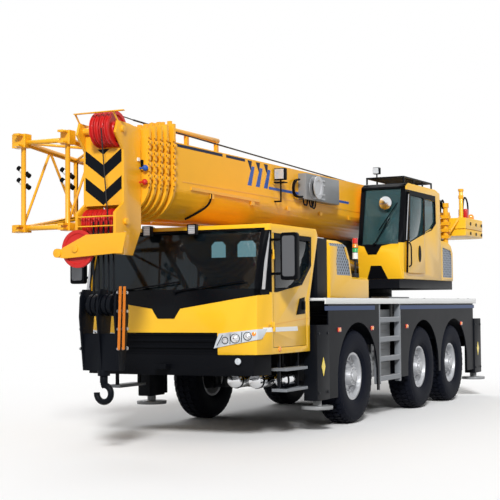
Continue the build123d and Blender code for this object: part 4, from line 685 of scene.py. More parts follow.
def keep_on_shoulder(verts, middle):
    """Pull the corners of a block down to the line of the tyre's shoulder."""
    (high_r, high_along), (low_r, low_along) = SHOULDER
    for vert in verts:
        spoke = vert.co - middle
        share = (abs(spoke.y) - high_along) / (low_along - high_along)
        drop = max(0.0, share) * (high_r - low_r)
        radius = Vector((spoke.x, 0, spoke.z)).length
        factor = min(radius, high_r) / radius - drop / radius
        vert.co = middle + Vector((factor * spoke.x, spoke.y, factor * spoke.z))


def make_tyre(number, name, middle):
    bm = bmesh.new()
    outline = TYRE_SIDE + [(radius, -along) for radius, along in reversed(TYRE_SIDE)]
    add_turned(bm, middle, (0, 1, 0), outline, 56)
    for along, turn, shift in TREAD_ROWS:
        for count in range(BLOCKS_ROUND):
            spot = (
                Matrix.Translation(middle)
                @ Matrix.Rotation(2 * pi * (count + shift) / BLOCKS_ROUND, 4, "Y")
                @ Matrix.Translation((0, along, TYRE_R - TREAD_DEPTH / 2 - TREAD_SINK))
                @ Matrix.Rotation(radians(turn), 4, "Z")
                @ Matrix.Diagonal((BLOCK_LENGTH, 2 * BLOCK_HALF, TREAD_DEPTH, 1.0)))
            keep_on_shoulder(bmesh.ops.create_cube(bm, size=1.0, matrix=spot)["verts"], middle)
    tyre = make_piece(f"tread_tyre_{number}_{name}", f"wheel_{number}_{name}", "rubber", bm)
    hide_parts(f"tyre_{number}_{name}")


# %% [markdown]
# A rim is a pressed disc in a rolled ring. The ready-made rim keeps its shape and gets soft edges. On
# it go the wheel nuts round the hub and the small bolts of the planetary cap.

# %% Rims with nuts
# Each row is a ring's number of nuts, its radius, its Y, and the radius and height of a nut.
NUT_RINGS = [(20, 0.196, WHEEL_Y + 0.048, 0.017, 0.030), (12, 0.105, WHEEL_Y + 0.148, 0.011, 0.014)]


def make_rim(number, name, side, middle):
    soften(f"rim_{number}_{name}", 0.005)
    bm = bmesh.new()
    for many, circle, y, radius, height in NUT_RINGS:
        for count in range(many):
            angle = 2 * pi * count / many
            foot = Vector((middle.x + circle * cos(angle), side * y, middle.z + circle * sin(angle)))
            add_stud(bm, foot, (0, side * height, 0), radius, tip=0.75 * radius)
    make_piece(f"wheel_nuts_{number}_{name}", f"wheel_{number}_{name}", "steel", bm)


for number, axle in AXLES.items():
    for name, side in SIDES.items():
        middle = Vector((axle, side * WHEEL_Y, TYRE_R))
        make_tyre(number, name, middle)
        make_rim(number, name, side, middle)
print("wheels", len(AXLES) * len(SIDES))

# %% [markdown]
# The painted shells, the deck, the boom and the smaller frames get rounded edges of a few
# millimetres, as folded and cast metal has. The regions name what is painted or made differently.

# %% Rounded shells
# Each row is a node, a finish and two corners of the box whose faces get it.
REGIONS = [
    ("carrier_cab", "black_plastic", (1.26, -1.262, 1.12), (2.78, 1.262, 2.605)),
    ("carrier_cab", "black_plastic", (1.50, -1.262, 2.60), (2.60, 1.262, 2.645)),
    ("operator_cab", "black_paint", (-4.3, 0.3, 3.66), (-1.9, 1.5, 3.80)),
    ("operator_cab", "black_plastic", (-4.12, 0.535, 2.11), (-2.30, 1.215, 3.60)),
    ("boom_base", "grey_paint", (-1.35, 0.425, 3.2), (0.0, 0.57, 3.62)),
    ("engine_hood", "black_paint", (0.735, 0.9, 1.7), (1.2, 1.3, 2.7)),
    ("side_hoods", "mesh_screen", (-4.8, 1.210, 2.0), (-4.1, 1.237, 2.8)),
    ("deck", "dark_grey", (-5.9, -1.34, 1.765), (1.3, 1.34, 1.775)),
    ("deck", "boom_paint", (0.7, -0.6, 1.776), (1.2, 0.6, 2.8)),
    ("carrier_lamps", "red_lens", (-0.5, 1.0, 2.55), (-0.2, 1.3, 2.7)),
    ("tanks", "black_paint", (-2.2, -1.4, 0.7), (0.0, -0.2, 1.5)),
    ("hoist_winch", "rope", (-6.1, -0.315, 3.0), (-5.6, 0.315, 3.45)),
    ("operator_door", "black_plastic", (-3.16, 1.258, 2.62), (-2.38, 1.288, 3.46)),
    ("operator_door", "operator_glass", (-3.08, 1.266, 2.78), (-2.50, 1.280, 3.40)),
]
# Each row is a node and the radius of its edges in metres.
ROUNDED = [
    ("carrier_cab", 0.016), ("engine_hood", 0.014), ("operator_cab", 0.014), ("operator_door", 0.006),
    ("side_hoods", 0.018), ("counterweight", 0.012), ("deck", 0.006), ("front_bumper", 0.010),
    ("mirrors", 0.008), ("carrier_lamps", 0.005), ("boom_base", 0.008), ("boom_head", 0.006),
    ("jib", 0.004), ("turret_frame", 0.010), ("hoist_winch", 0.006), ("ladders_and_steps", 0.006),
    ("tanks", 0.012), ("chassis_frame", 0.008), ("sheaves", 0.004), ("hook_block", 0.010),
    ("hook", 0.006), ("axle_beams", 0.008), ("carrier_cab_interior", 0.025),
    ("operator_cab_interior", 0.025), ("luffing_barrel", 0.006),
]
ROUNDED += [(f"boom_section_{level}", 0.006) for level in range(1, 5)]
for name, side in SIDES.items():
    door = f"cab_door_{name}"
    REGIONS += [
        (door, "black_plastic", (1.45, side * 1.252, 1.84), (2.80, side * 1.298, 2.62)),
        (door, "cab_glass", (1.66, side * 1.262, 2.00), (2.60, side * 1.288, 2.50)),
        ("engine_hood", "mesh_screen", (-0.2, side * 1.215, 2.05), (0.7, side * 1.236, 2.59)),
        ("carrier_lamps", "lamp_face", (2.6, side * 0.5, 1.1), (3.2, side * 1.36, 1.45)),
        ("ladders_and_steps", "black_paint", (1.72, side * 1.17, 0.5), (2.33, side * 1.23, 1.2)),
    ]
    ROUNDED.append((door, 0.008))
    for place in ("front", "rear"):
        ROUNDED += [(f"outrigger_beam_{place}_{name}", 0.010), (f"outrigger_jack_{place}_{name}", 0.006)]
for node, width in ROUNDED:
    soften(node, width, [row[1:] for row in REGIONS if row[0] == node])
print("rounded nodes", len(ROUNDED))

# %% [markdown]
# Some trims lie on a curved shell like a skin, such as the black mask under the windscreen. Such a
# trim is a copy of the shell's own outer faces, cut by planes along its outline and lifted a little.

# %% Skins on a shell
SKIN = 0.004
SKIN_FACING = 0.30


def add_skin(bm, node, planes, facing, lift):
    """Add a node's faces that look one way, cut to planes of point and outward direction."""
    skin = bmesh_of(node)
    away = [face for face in skin.faces if face.normal.dot(Vector(facing)) < SKIN_FACING]
    bmesh.ops.delete(skin, geom=away, context="FACES")
    for point, outward in planes:
        everything = skin.verts[:] + skin.edges[:] + skin.faces[:]
        bmesh.ops.bisect_plane(skin, geom=everything, plane_co=point, plane_no=outward, clear_outer=True)
    thicken(skin, skin.faces[:], SKIN * Vector(lift))
    drawn = bpy.data.meshes.new("skin")
    skin.to_mesh(drawn)
    skin.free()
    bm.from_mesh(drawn)
    bpy.data.meshes.remove(drawn)


def plane(x, y, outward):
    return placed((x, y, 0)), Vector(outward)


def outline_planes(points, axis):
    """The planes round a convex outline, seen along one axis."""
    points = [placed(point) for point in points]
    middle = sum(points, Vector()) / len(points)
    planes = []
    for first, second in zip(points, points[1:] + points[:1]):
        outward = (second - first).cross(Vector(axis))
        if outward.dot(first - middle) < 0:
            outward.negate()
        planes.append((first, outward.normalized()))
    return planes


def front_planes(outline):
    return outline_planes([(0, y, z) for y, z in outline], (1, 0, 0))


def side_planes(outline):
    return outline_planes([(x, 0, z) for x, z in outline], (0, 1, 0))


def add_front_skin(bm, node, outline):
    add_skin(bm, node, front_planes(outline), (1, 0, 0), (1, 0, 0))


def add_dipped_mask(bm, node, middle_y, edge, top_z):
    """A skin whose lower edge is given for one half, as distance from its middle and height."""
    for side in (1, -1):
        for (y0, z0), (y1, z1) in zip(edge, edge[1:]):
            outline = [(y0, z0), (y1, z1), (y1, top_z), (y0, top_z)]
            add_front_skin(bm, node, [(middle_y + side * y, z) for y, z in outline])


# %% [markdown]
# The nose carries a black mask whose lower edge dips to a shallow V in the middle. It reaches up to
# the windscreen. As a skin it follows the shell's own curve, so no gap shows beneath it.

# %% Nose mask
MASK_EDGE = [(0.0, 1.518), (0.120, 1.518), (0.205, 1.642), (1.290, 1.808)]
MASK_TOP_Z = 1.885
bm = bmesh.new()
add_dipped_mask(bm, "carrier_cab", 0.0, MASK_EDGE, MASK_TOP_Z)
make_piece("nose_mask", "carrier", "mask_black", bm)

# %% [markdown]
# Glass is glued in behind black borders. The windscreen has one all round, and the side window's
# border covers the front half of the door and a corner of the cab.

# %% Window borders
CAB_HALF = 1.300
SCREEN_HALF = 1.190
SCREEN_TOP_Z = 2.600
BORDER = 0.045
SIDE_BORDER = [
    (2.700, 2.600), (2.866, 1.966), (2.868, 1.835), (2.538, 1.838), (1.800, 1.935), (1.500, 2.190),
    (1.490, 2.560), (1.723, 2.618),
]


def make_windscreen_border():
    bm = bmesh.new()
    edge = SCREEN_HALF + BORDER
    for side in (1, -1):
        sides = rectangle(side * (SCREEN_HALF - 0.01), side * edge, 1.80, SCREEN_TOP_Z + 0.03)
        add_front_skin(bm, "carrier_cab", sides)
        planes = front_planes(rectangle(side * (edge - 0.005), side * 1.31, 1.86, SCREEN_TOP_Z))
        planes.append(plane(2.700, 0, (-1, 0, 0)))
        add_skin(bm, "carrier_cab", planes, (0.5, side, 0), (1, side, 0))
    top = rectangle(-SCREEN_HALF, SCREEN_HALF, SCREEN_TOP_Z - 0.01, SCREEN_TOP_Z + 0.03)
    add_front_skin(bm, "carrier_cab", top)
    make_piece("windscreen_border", "carrier", "black_plastic", bm)


def make_side_border(name, side):
    for node, body, edge_x, way in (
            ("carrier_cab", "carrier", 2.690, -1), (f"cab_door_{name}", f"cab_door_{name}", 2.622, 1)):
        bm = bmesh.new()
        planes = side_planes(SIDE_BORDER)
        planes.append(plane(0, side * (CAB_HALF - 0.010), (0, -side, 0)))
        planes.append(plane(edge_x, 0, (way, 0, 0)))
        add_skin(bm, node, planes, (0, side, 0), (0, side, 0))
        make_piece(f"window_border_{body}_{name}", body, "black_plastic", bm)


make_windscreen_border()
for name, side in SIDES.items():
    make_side_border(name, side)

# %% [markdown]
# Two wipers rest at the foot of the windscreen. The screen leans back, so a small function gives the
# place of a point on it from its distance to the middle and its height.

# %% Wipers
SCREEN_FOOT = (2.990, 1.790)
SCREEN_HEAD = (2.720, 2.680)


def on_screen(y, z, off, foot=SCREEN_FOOT, head=SCREEN_HEAD):
    """A point in front of a leaning screen, whose foot and head are X and Z."""
    share = (z - foot[1]) / (head[1] - foot[1])
    return foot[0] + share * (head[0] - foot[0]) + off, y, z


rods = []
for y in (-0.82, 0.10):
    elbow = on_screen(y + 0.10, 1.872, 0.035)
    rods += [
        (on_screen(y, 1.845, 0.01), on_screen(y, 1.845, 0.04), 0.022),
        (on_screen(y, 1.845, 0.035), elbow, 0.011, 8),
        (elbow, on_screen(y + 0.62, 1.925, 0.035), 0.009, 8, 0.005),
        (on_screen(y + 0.22, 1.885, 0.014), on_screen(y + 0.96, 1.975, 0.014), 0.010, 6),
    ]
make_each(add_rod, "windscreen_wipers", "carrier", "black_plastic", rods)

# %% [markdown]
# Trim on the doors: a dark recess with its pull handle, a pale reflective strip along the side and
# a bright strip on the front pillar. What lies on the door rides on the door.

# %% Door trim
DOOR_FACE = CAB_HALF - 0.002
RECESS = [(1.874, 1.757), (1.718, 1.778), (1.710, 1.564), (1.981, 1.550)]
STRIP_LOW, STRIP_HIGH = 1.348, 1.404
DOOR_STRIP = [(1.934, STRIP_LOW), (2.643, STRIP_LOW), (2.643, STRIP_HIGH), (1.954, STRIP_HIGH)]
CAB_STRIP = [(2.667, STRIP_LOW), (2.712, STRIP_LOW), (2.712, STRIP_HIGH), (2.687, STRIP_HIGH)]
PILLAR_STRIP = slanted((2.880, 1.870), (2.722, 2.585), 0.008)


def make_door_trim(name, side):
    door = f"cab_door_{name}"
    bm = bmesh.new()
    add_side_plate(bm, RECESS, side, DOOR_FACE, 0.008)
    add_block(bm, (1.755, side * 1.300, 1.615), (1.800, side * 1.332, 1.725))
    make_piece(f"door_handle_{name}", door, "black_plastic", bm, 0.006)
    bm = bmesh.new()
    add_side_plate(bm, DOOR_STRIP, side, DOOR_FACE, 0.005)
    make_piece(f"side_strip_{door}_{name}", door, "white_paint", bm)
    bm = bmesh.new()
    add_side_plate(bm, CAB_STRIP, side, DOOR_FACE, 0.005)
    corner = [(2.716, 1.2955), (2.835, 1.2470), (2.835, 1.2470), (2.716, 1.2955)]
    heights = (STRIP_LOW, STRIP_LOW, STRIP_HIGH, STRIP_HIGH)
    turned = [(x, side * y, z) for (x, y), z in zip(corner, heights)]
    add_slab(bm, turned, (0.003, side * 0.007, 0))
    make_piece(f"side_strip_carrier_{name}", "carrier", "white_paint", bm)
    bm = bmesh.new()
    add_side_plate(bm, PILLAR_STRIP, side, 1.262, 0.036)
    make_piece(f"pillar_strip_{name}", "carrier", "aluminium", bm)


for name, side in SIDES.items():
    make_door_trim(name, side)

# %% [markdown]
# The big mirrors are seen from their backs: a grey cover with a dark channel round it. The glass is
# on the rear side.

# %% Mirror faces
low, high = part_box("mirrors")
front_x, back_x = high.x - AXLE_X - 0.002, low.x - AXLE_X + 0.002
inner, outer = high.y - 0.192, high.y - 0.028
# Each row is a name, a finish, the X it lies at, its thickness and its lowest and highest point.
MIRROR_FACES = [
    ("cover", "mirror_grey", front_x, 0.010, low.z + 0.045, high.z - 0.040),
    ("glass", "chrome", back_x, -0.005, low.z + 0.030, high.z - 0.030),
]
for label, look, x, thick, z0, z1 in MIRROR_FACES:
    for name, side in SIDES.items():
        bm = bmesh.new()
        add_front_plate(bm, rectangle(side * inner, side * outer, z0, z1), x, thick)
        edges = [edge for edge in bm.edges if abs((edge.verts[0].co - edge.verts[1].co).x) > 0.003]
        bmesh.ops.bevel(bm, geom=edges, offset=0.030, segments=4, affect="EDGES", profile=0.5, material=-1)
        make_piece(f"mirror_{label}_{name}", "carrier", look, bm)

# %% [markdown]
# A headlamp is a deep reflector behind clear glass. The ready-made lens has its outline, so
# round projectors, a turn lamp and dark dividers are set on it. Fog lamps and side markers follow.

# %% Lamps of the nose
# Each row is the distance from the middle, the height and the radius of a projector.
PROJECTORS = [(1.110, 1.302, 0.044), (0.965, 1.276, 0.050), (0.835, 1.252, 0.036)]
DIVIDERS = [(0.720, 1.188, 0.800, 1.318), (0.900, 1.208, 0.905, 1.330), (1.035, 1.228, 1.045, 1.352)]
# A projector's outline, as shares of its radius and distances along its axis.
PROJECTOR_OUTLINE = [
    (1.0, 0.0), (1.0, 0.008), (0.80, 0.010), (0.62, 0.004), (0.45, 0.006), (0.25, 0.010)]
lens = bmesh.new()
lens.from_mesh(nodes["carrier_lamps"].data)
lens_tree = BVHTree.FromBMesh(lens)
lens.free()


def on_lens(y, z, off):
    """The point of the lens straight ahead of a place, moved outwards, and the way it faces there."""
    spot, normal, index, distance = lens_tree.ray_cast(placed((4.0, y, z)), Vector((-1, 0, 0)))
    return spot + off * normal, normal


def dome(outline, top):
    """Close a lamp's outline over its middle, with its top on the axis."""
    return outline + [(POLE, top), (POLE, 0.0)]


def ring(radius, thick, low, high):
    return [(radius, low), (radius + thick, low), (radius + thick, high), (radius, high)]


def make_dome(name, body, look, middle, axis, outline, top, steps=20):
    make_each(add_turned, name, body, look, [(middle, axis, dome(outline, top), steps)])


def make_nose_lamps(name, side):
    domes, rings = [], bmesh.new()
    for y, z, radius in PROJECTORS:
        spot, normal = on_lens(side * y, z, -0.001)
        outline = [(share * radius, along) for share, along in PROJECTOR_OUTLINE]
        domes.append((spot, normal, dome(outline, 0.012)))
        add_turned(rings, spot, normal, ring(radius, 0.008, 0.0, 0.010))
    for y0, z0, y1, z1 in DIVIDERS:
        add_rod(rings, on_lens(side * y0, z0, 0.001)[0], on_lens(side * y1, z1, 0.001)[0], 0.005, 6)
    make_each(add_turned, f"projectors_{name}", "carrier", "chrome", domes)
    make_piece(f"projector_rings_{name}", "carrier", "dark_grey", rings)
    spot, normal = on_lens(side * 1.185, 1.330, -0.001)
    make_dome(
        f"turn_lamp_{name}", "carrier", "amber_lens", spot, normal,
        [(0.026, 0.0), (0.026, 0.008), (0.0156, 0.013)], 0.015)
    make_dome(
        f"fog_lamp_{name}", "carrier", "lamp_face", (3.058, side * 1.020, 1.000), (1, 0, 0),
        [(0.040, 0.0), (0.040, 0.012), (0.030, 0.016)], 0.020)
    make_dome(
        f"side_marker_{name}", "carrier", "amber_lens", (2.481, side * DOOR_FACE, 1.130), (0, side, 0),
        [(0.034, 0.0), (0.034, 0.010), (0.020, 0.018)], 0.020)


for name, side in SIDES.items():
    make_nose_lamps(name, side)
print("cab trim is on")

# %% [markdown]
# The boom's sides carry painted stripes. Each is a film a few millimetres thick, cut to its outline:
# a dark band along the top edge, three strokes of dark and bright blue, and a line behind them.

# %% Stripes on the boom
BOOM_Y = 0.4195
FILM = 0.0025
DARK_BANDS = [rectangle(3.52, 2.30, 3.600, 3.636), rectangle(2.20, 1.66, 3.600, 3.636)]
BLUE_LINE = rectangle(0.935, -2.00, 3.288, 3.326)
STROKE_STARTS = (1.585, 1.337, 1.089)
# The two parts of a stroke, as distance behind its start and height.
STROKE_DARK = [(0.0, 3.628), (0.128, 3.628), (0.100, 3.488)]
STROKE_BRIGHT = [(0.127, 3.558), (0.208, 3.558), (0.112, 3.292), (-0.006, 3.292)]


def strokes(part):
    return [[(start - x, z) for x, z in part] for start in STROKE_STARTS]


for name, side in SIDES.items():
    for label, look, outlines in (
            ("dark", "navy_paint", DARK_BANDS + strokes(STROKE_DARK)),
            ("blue", "blue_paint", strokes(STROKE_BRIGHT) + [BLUE_LINE])):
        films = [(outline, side, BOOM_Y, FILM) for outline in outlines]
        make_each(add_side_plate, f"{label}_stripes_{name}", "boom", look, films)

# %% [markdown]
# The plate at the boom's tip warns with black arrows that point down. They are one outline repeated
# down the plate, a film like the stripes, and its top one is cut by the plate's upper edge.

# %% Warning arrows on the head
PLATE_X = 4.4295
ARROW_HALF = 0.247
ARROW_RISE = 0.180
ARROW_THICK = 0.150


def arrow(apex):
    """One arrow as Y and Z, from its lowest point on the upper edge round its outline."""
    high, low = apex + ARROW_RISE, apex + ARROW_RISE - ARROW_THICK
    return [
        (0, apex), (ARROW_HALF, high), (ARROW_HALF, low), (0, apex - ARROW_THICK),
        (-ARROW_HALF, low), (-ARROW_HALF, high)]


arrows = [arrow(3.305), arrow(2.992), [(-0.085, 3.488), (0.085, 3.488), (0, 3.425)]]
films = [(outline, PLATE_X, FILM + 0.001) for outline in arrows]
make_each(add_front_plate, "warning_arrows", "boom_head", "black_paint", films)

# %% [markdown]
# The hoist rope leaves the winch, runs over the boom's back to the upper sheaves and drops down the
# head's front to the lower ones. It is always taut, so its runs are straight. A run that crosses a
# joint has its two ends on the two bodies, so it stays taut when the boom rises or grows longer.

# %% Hoist rope
ROPE_R = 0.011
WINCH_END = ("superstructure", (-5.85, 0.05, 3.415))
BOOM_TAIL = ("boom", (-4.70, 0.07, 3.690))
# The points where the rope leaves one body of the boom for the next.
ROPE_STOPS = [
    ("boom", (3.48, 0.1145, 3.867)), ("boom_section_1", (3.62, 0.1150, 3.870)),
    ("boom_section_2", (3.74, 0.1152, 3.873)), ("boom_section_3", (3.85, 0.1155, 3.876)),
    ("boom_section_4", (3.96, 0.1160, 3.879)),
]
for (first, start), (second, end) in [(WINCH_END, BOOM_TAIL)] + list(zip(ROPE_STOPS, ROPE_STOPS[1:])):
    rope = make_each(add_rod, f"rope_{first}_{second}", None, "rope", [(start, end, ROPE_R, 10)])
    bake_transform(rope, first, second, placed(start), placed(end))
over_boom = [(BOOM_TAIL[1], ROPE_STOPS[0][1], ROPE_R, 10)]
make_each(add_rod, "rope_over_boom", "boom", "rope", over_boom)
make_each(add_rod, "rope_on_head", "boom_head", "rope", [
    ((3.96, 0.1160, 3.879), (4.455, 0.116, 3.905), 0.007, 10),
    ((4.652, 0.116, 3.70), (4.548, 0.136, 2.66), 0.007, 10),
])

# %% [markdown]
# Along the lower side of the boom run a folded flange, a thin seam and the guide feet of the hoses.
# A work lamp stands off the side on a thin bracket, and hoses drop from the boom to the rest.

# %% Side fittings of the boom
FLANGE = [(3.140, 3.099), (3.140, 3.136), (1.255, 3.120), (1.255, 3.083)]
FOOT_X = (2.60, 1.45, 0.30, -0.85, -2.00)
# Each row is the Y of a hose and how much wider it hangs than the first.
BOX_HOSES = [(0.455, 0.0), (0.490, 0.01)]
LAMP_HALF_DEPTH = 0.045
PANE_SHARE = 0.84


def make_lamp(name, body, middle, size, foot_z=None):
    """A square work lamp that looks forwards, on a rod from foot_z where that is given."""
    x, y, z = middle
    half, pane = size / 2, PANE_SHARE * size / 2
    bm = bmesh.new()
    front = x + LAMP_HALF_DEPTH
    add_block(bm, (x - LAMP_HALF_DEPTH, y - half, z - half), (front, y + half, z + half))
    round_edges(bm, 0.010)
    if foot_z is not None:
        add_rod(bm, (x, y, foot_z), (x, y, z - half + 0.01), 0.012, 8)
    make_piece(f"{name}_housing", body, "black_plastic", bm)
    glass = [((front - 0.004, y - pane, z - pane), (front + 0.006, y + pane, z + pane))]
    make_each(add_block, f"{name}_glass", body, "lamp_face", glass)


bm = bmesh.new()
for side in (1, -1):
    add_side_plate(bm, FLANGE, side, BOOM_Y, 0.016)
    add_block(bm, (-4.20, side * 0.419, 3.179), (3.34, side * 0.424, 3.191))
    for x in FOOT_X:
        add_block(bm, (x - 0.05, side * 0.419, 3.03), (x + 0.05, side * 0.432, 3.09))
make_piece("boom_flanges", "boom", "boom_paint", bm)
make_lamp("boom_lamp", "boom", (0.76, 0.520, 3.510), 0.165)
bm = bmesh.new()
add_rod(bm, (0.755, 0.520, 3.435), (0.755, 0.520, 3.12), 0.012, 8)
add_rod(bm, (0.755, 0.520, 3.13), (0.755, 0.415, 3.13), 0.012, 8)
add_block(bm, (0.70, 0.44, 3.385), (0.82, 0.60, 3.40))
make_piece("boom_lamp_bracket", "boom", "black_plastic", bm)
make_tube("boom_hose_front", "boom", [
    (2.62, 0.424, 3.09), (2.64, 0.44, 2.98), (2.70, 0.30, 2.86), (2.86, 0.18, 2.765)], 0.014)
for count, (y, wide) in enumerate(BOX_HOSES):
    make_tube(f"box_hose_{count}", "boom", [
        (0.02 + 3 * wide, y, 3.50), (0.14, y, 3.50), (0.22 + 4 * wide, y, 3.40),
        (0.20 + 4 * wide, y, 3.27), (0.06, y, 3.24), (-0.06, y, 3.26)], 0.014)

# %% [markdown]
# Each telescope collar is drawn tight with bolts, each with a painted shadow below it, and the tips of
# the sections carry small stops, coloured knobs and tags. They are tiny, but a crane's head looks bare
# without them.

# %% Bolts and knobs at the collars
# Each row is the collar's body, its X, its half width and the height of its upper row of bolts.
COLLARS = [("boom", 3.570, 0.450, 3.80)]
COLLAR_BOLT_Z = (3.12, 3.26, 3.395, 3.525, 3.655)
COLLAR_BOLT_Y = (-0.24, -0.12, 0.0, 0.12, 0.24)
# Below each side bolt lies a dark red disc, a painted shadow of the bolt, this far down.
SHADOW_DROP = 0.062
for level, (x, half) in enumerate(((3.685, 0.420), (3.800, 0.405), (3.910, 0.390), (4.015, 0.375)), 1):
    body = f"boom_section_{level}"
    COLLARS.append((body, x, half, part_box(body)[1].z - 0.055))
for body, x, half, top_z in COLLARS:
    bolts, shadow_marks = bmesh.new(), bmesh.new()
    for side in (1, -1):
        y = side * (half - 0.001)
        for z in COLLAR_BOLT_Z:
            add_stud(bolts, (x + 0.025, y, z), (0, side * 0.022, 0), 0.021)
            add_stud(shadow_marks, (x + 0.025, y, z - SHADOW_DROP), (0, side * 0.003, 0), 0.013, 12)
    for y in COLLAR_BOLT_Y:
        add_stud(bolts, (x + 0.045, y, top_z), (0.018, 0, 0), 0.015)
    make_piece(f"collar_bolts_{body}", body, "boom_paint", bolts)
    make_piece(f"collar_shadow_marks_{body}", body, "painted_bolt_shadow", shadow_marks)

# Each row is a knob's name, its finish and the middle of its ball; its stalk stands on the head's side.
KNOBS = [
    ("blue_knob", "blue_paint", (4.085, 0.351, 3.285)), ("red_knob", "red_sheave", (4.090, 0.346, 3.120))]
HEAD_SIDE_Y = 0.276
for name, look, ball in KNOBS:
    bm = bmesh.new()
    head = placed(ball)
    add_rod(bm, (ball[0], HEAD_SIDE_Y, ball[2]), head, 0.012, 8)
    bmesh.ops.create_uvsphere(
        bm, u_segments=16, v_segments=10, radius=0.036, matrix=Matrix.Translation(head))
    make_piece(name, "boom_head", look, bm)
make_each(add_block, "head_blocks", "boom_head", "black_plastic", [
    ((x - 0.018, 0.274, z - 0.040), (x + 0.018, 0.300, z + 0.040))
    for x, z in ((4.05, 3.345), (3.985, 3.300))], 0.006)
make_each(add_block, "head_tags", "boom_head", "white_paint", [
    ((x - 0.020, 0.274, z - 0.020), (x + 0.020, 0.290, z + 0.020))
    for x, z in ((4.12, 3.385), (4.00, 3.420))])

# %% [markdown]
# Orange lashing straps hold the hook block still on the road. They are flat webbing under tension,
# so each is a thin straight band down the block's side.

# %% Lashing straps and the block's trim
STRAPS = [
    [(4.500, 1.90), (4.545, 1.90), (4.575, 1.19), (4.530, 1.19)],
    [(4.585, 1.90), (4.630, 1.90), (4.670, 1.19), (4.625, 1.19)],
]
make_each(add_side_plate, "lashing_straps", "hook_block", "orange_strap", [
    (strap, 1, 0.338, 0.006) for strap in STRAPS])
make_each(add_stud, "block_bolts", "hook_block", "steel", [
    ((x, y, z), (0, push, 0), 0.020) for x in (4.44, 4.535, 4.63)
    for y, push in ((0.312, 0.016), (-0.176, -0.016)) for z in (1.20, 1.42, 1.62, 1.83)])
print("boom is dressed")

# %% [markdown]
# The operator's cab has the same language as the driving cab: a black mask below the front glass,
# black borders round every pane, and a black skin at its foot as painted shade of a cut-out.

# %% Operator cab skins
OP_MIDDLE_Y = 0.7525
OP_MASK_EDGE = [(0.0, 2.476), (0.0725, 2.476), (0.145, 2.610), (0.420, 2.664)]
OP_MASK_TOP_Z = 2.760
# The borders left, right and above the front glass, and a black skin at the foot, painted shade of a
# cut-out.
OP_FRONT = [
    rectangle(0.48, 0.585, 2.66, 3.64), rectangle(1.150, 1.27, 2.66, 3.64),
    rectangle(0.50, 1.25, 3.50, 3.615),
    [(0.642, 2.085), (0.716, 2.299), (0.892, 2.295), (0.992, 2.085)],
]
OP_SIDE_BORDER = [
    (-2.300, 3.520), (-3.860, 3.520), (-3.880, 3.050), (-3.650, 2.925), (-2.130, 2.640), (-2.120, 2.720)]
bm = bmesh.new()
add_dipped_mask(bm, "operator_cab", OP_MIDDLE_Y, OP_MASK_EDGE, OP_MASK_TOP_Z)
for outline in OP_FRONT:
    add_front_skin(bm, "operator_cab", outline)
make_piece("operator_front_border", "superstructure", "black_plastic", bm)
for node, body in (("operator_cab", "superstructure"), ("operator_door", "operator_door")):
    planes = side_planes(OP_SIDE_BORDER)
    planes.append(plane(0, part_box(node)[1].y - 0.010, (0, -1, 0)))
    make_each(add_skin, f"side_border_{node}", body, "black_plastic", [
        (node, planes, (0, 1, 0), (0, 1, 0))])

# %% [markdown]
# Small things that make a cab readable: the door's handle and rail, the bright pillar strip, the
# wiper, a round mirror inside the glass, and a work lamp on the roof guard.

# %% Operator cab fittings
OP_SCREEN_FOOT = (-2.165, 2.66)
OP_SCREEN_HEAD = (-2.300, 3.60)
SLAT_X = (-2.62, -2.82, -3.02, -3.22, -3.42, -3.62)


def on_op_screen(y, z, off=0.03):
    return on_screen(y, z, off, OP_SCREEN_FOOT, OP_SCREEN_HEAD)


make_dome(
    "round_mirror", "superstructure", "chrome", on_op_screen(0.96, 3.30, 0.012), (1, 0, 0),
    [(0.105, 0.0), (0.112, 0.012), (0.105, 0.030), (0.06, 0.040)], 0.044, 28)
make_each(add_rod, "operator_wiper", "superstructure", "black_plastic", [
    (on_op_screen(0.80, 2.64), on_op_screen(1.04, 3.05), 0.010, 8),
    (on_op_screen(0.86, 2.86, 0.018), on_op_screen(1.16, 3.30, 0.018), 0.009, 6),
    (on_op_screen(0.80, 2.64, -0.01), on_op_screen(0.80, 2.64, 0.045), 0.020)])
strip = slanted((-2.262, 2.70), (-2.395, 3.44), 0.014)
make_each(add_side_plate, "operator_pillar_strip", "operator_door", "aluminium", [
    (strip, 1, 1.292, 0.004)])
make_tube("door_rail", "operator_door", [
    (-2.37, 1.288, 2.66), (-2.37, 1.335, 2.66), (-2.37, 1.335, 2.40), (-2.37, 1.335, 2.28),
    (-2.37, 1.288, 2.28)], 0.011)
oval = [(-2.90 + 0.060 * cos(k * pi / 10), 2.50 + 0.135 * sin(k * pi / 10)) for k in range(20)]
make_each(add_side_plate, "operator_door_handle", "operator_door", "black_plastic", [
    (oval, 1, 1.289, 0.010)])
make_lamp("guard_lamp", "superstructure", (-2.42, 0.745, 3.845), 0.110, 3.74)
make_each(add_block, "guard_slats", "superstructure", "black_paint", [
    ((x - 0.008, 0.56, 3.722), (x + 0.008, 1.19, 3.732)) for x in SLAT_X])

# %% [markdown]
# The signal tower beside the hood repeats the crane's load warning in red, green and clear bands.
# The ready-made post stays inside, and each band is a ribbed lens round it. Two beacons stand on
# the counterweight.

# %% Signal tower and beacons
RIBS = 4
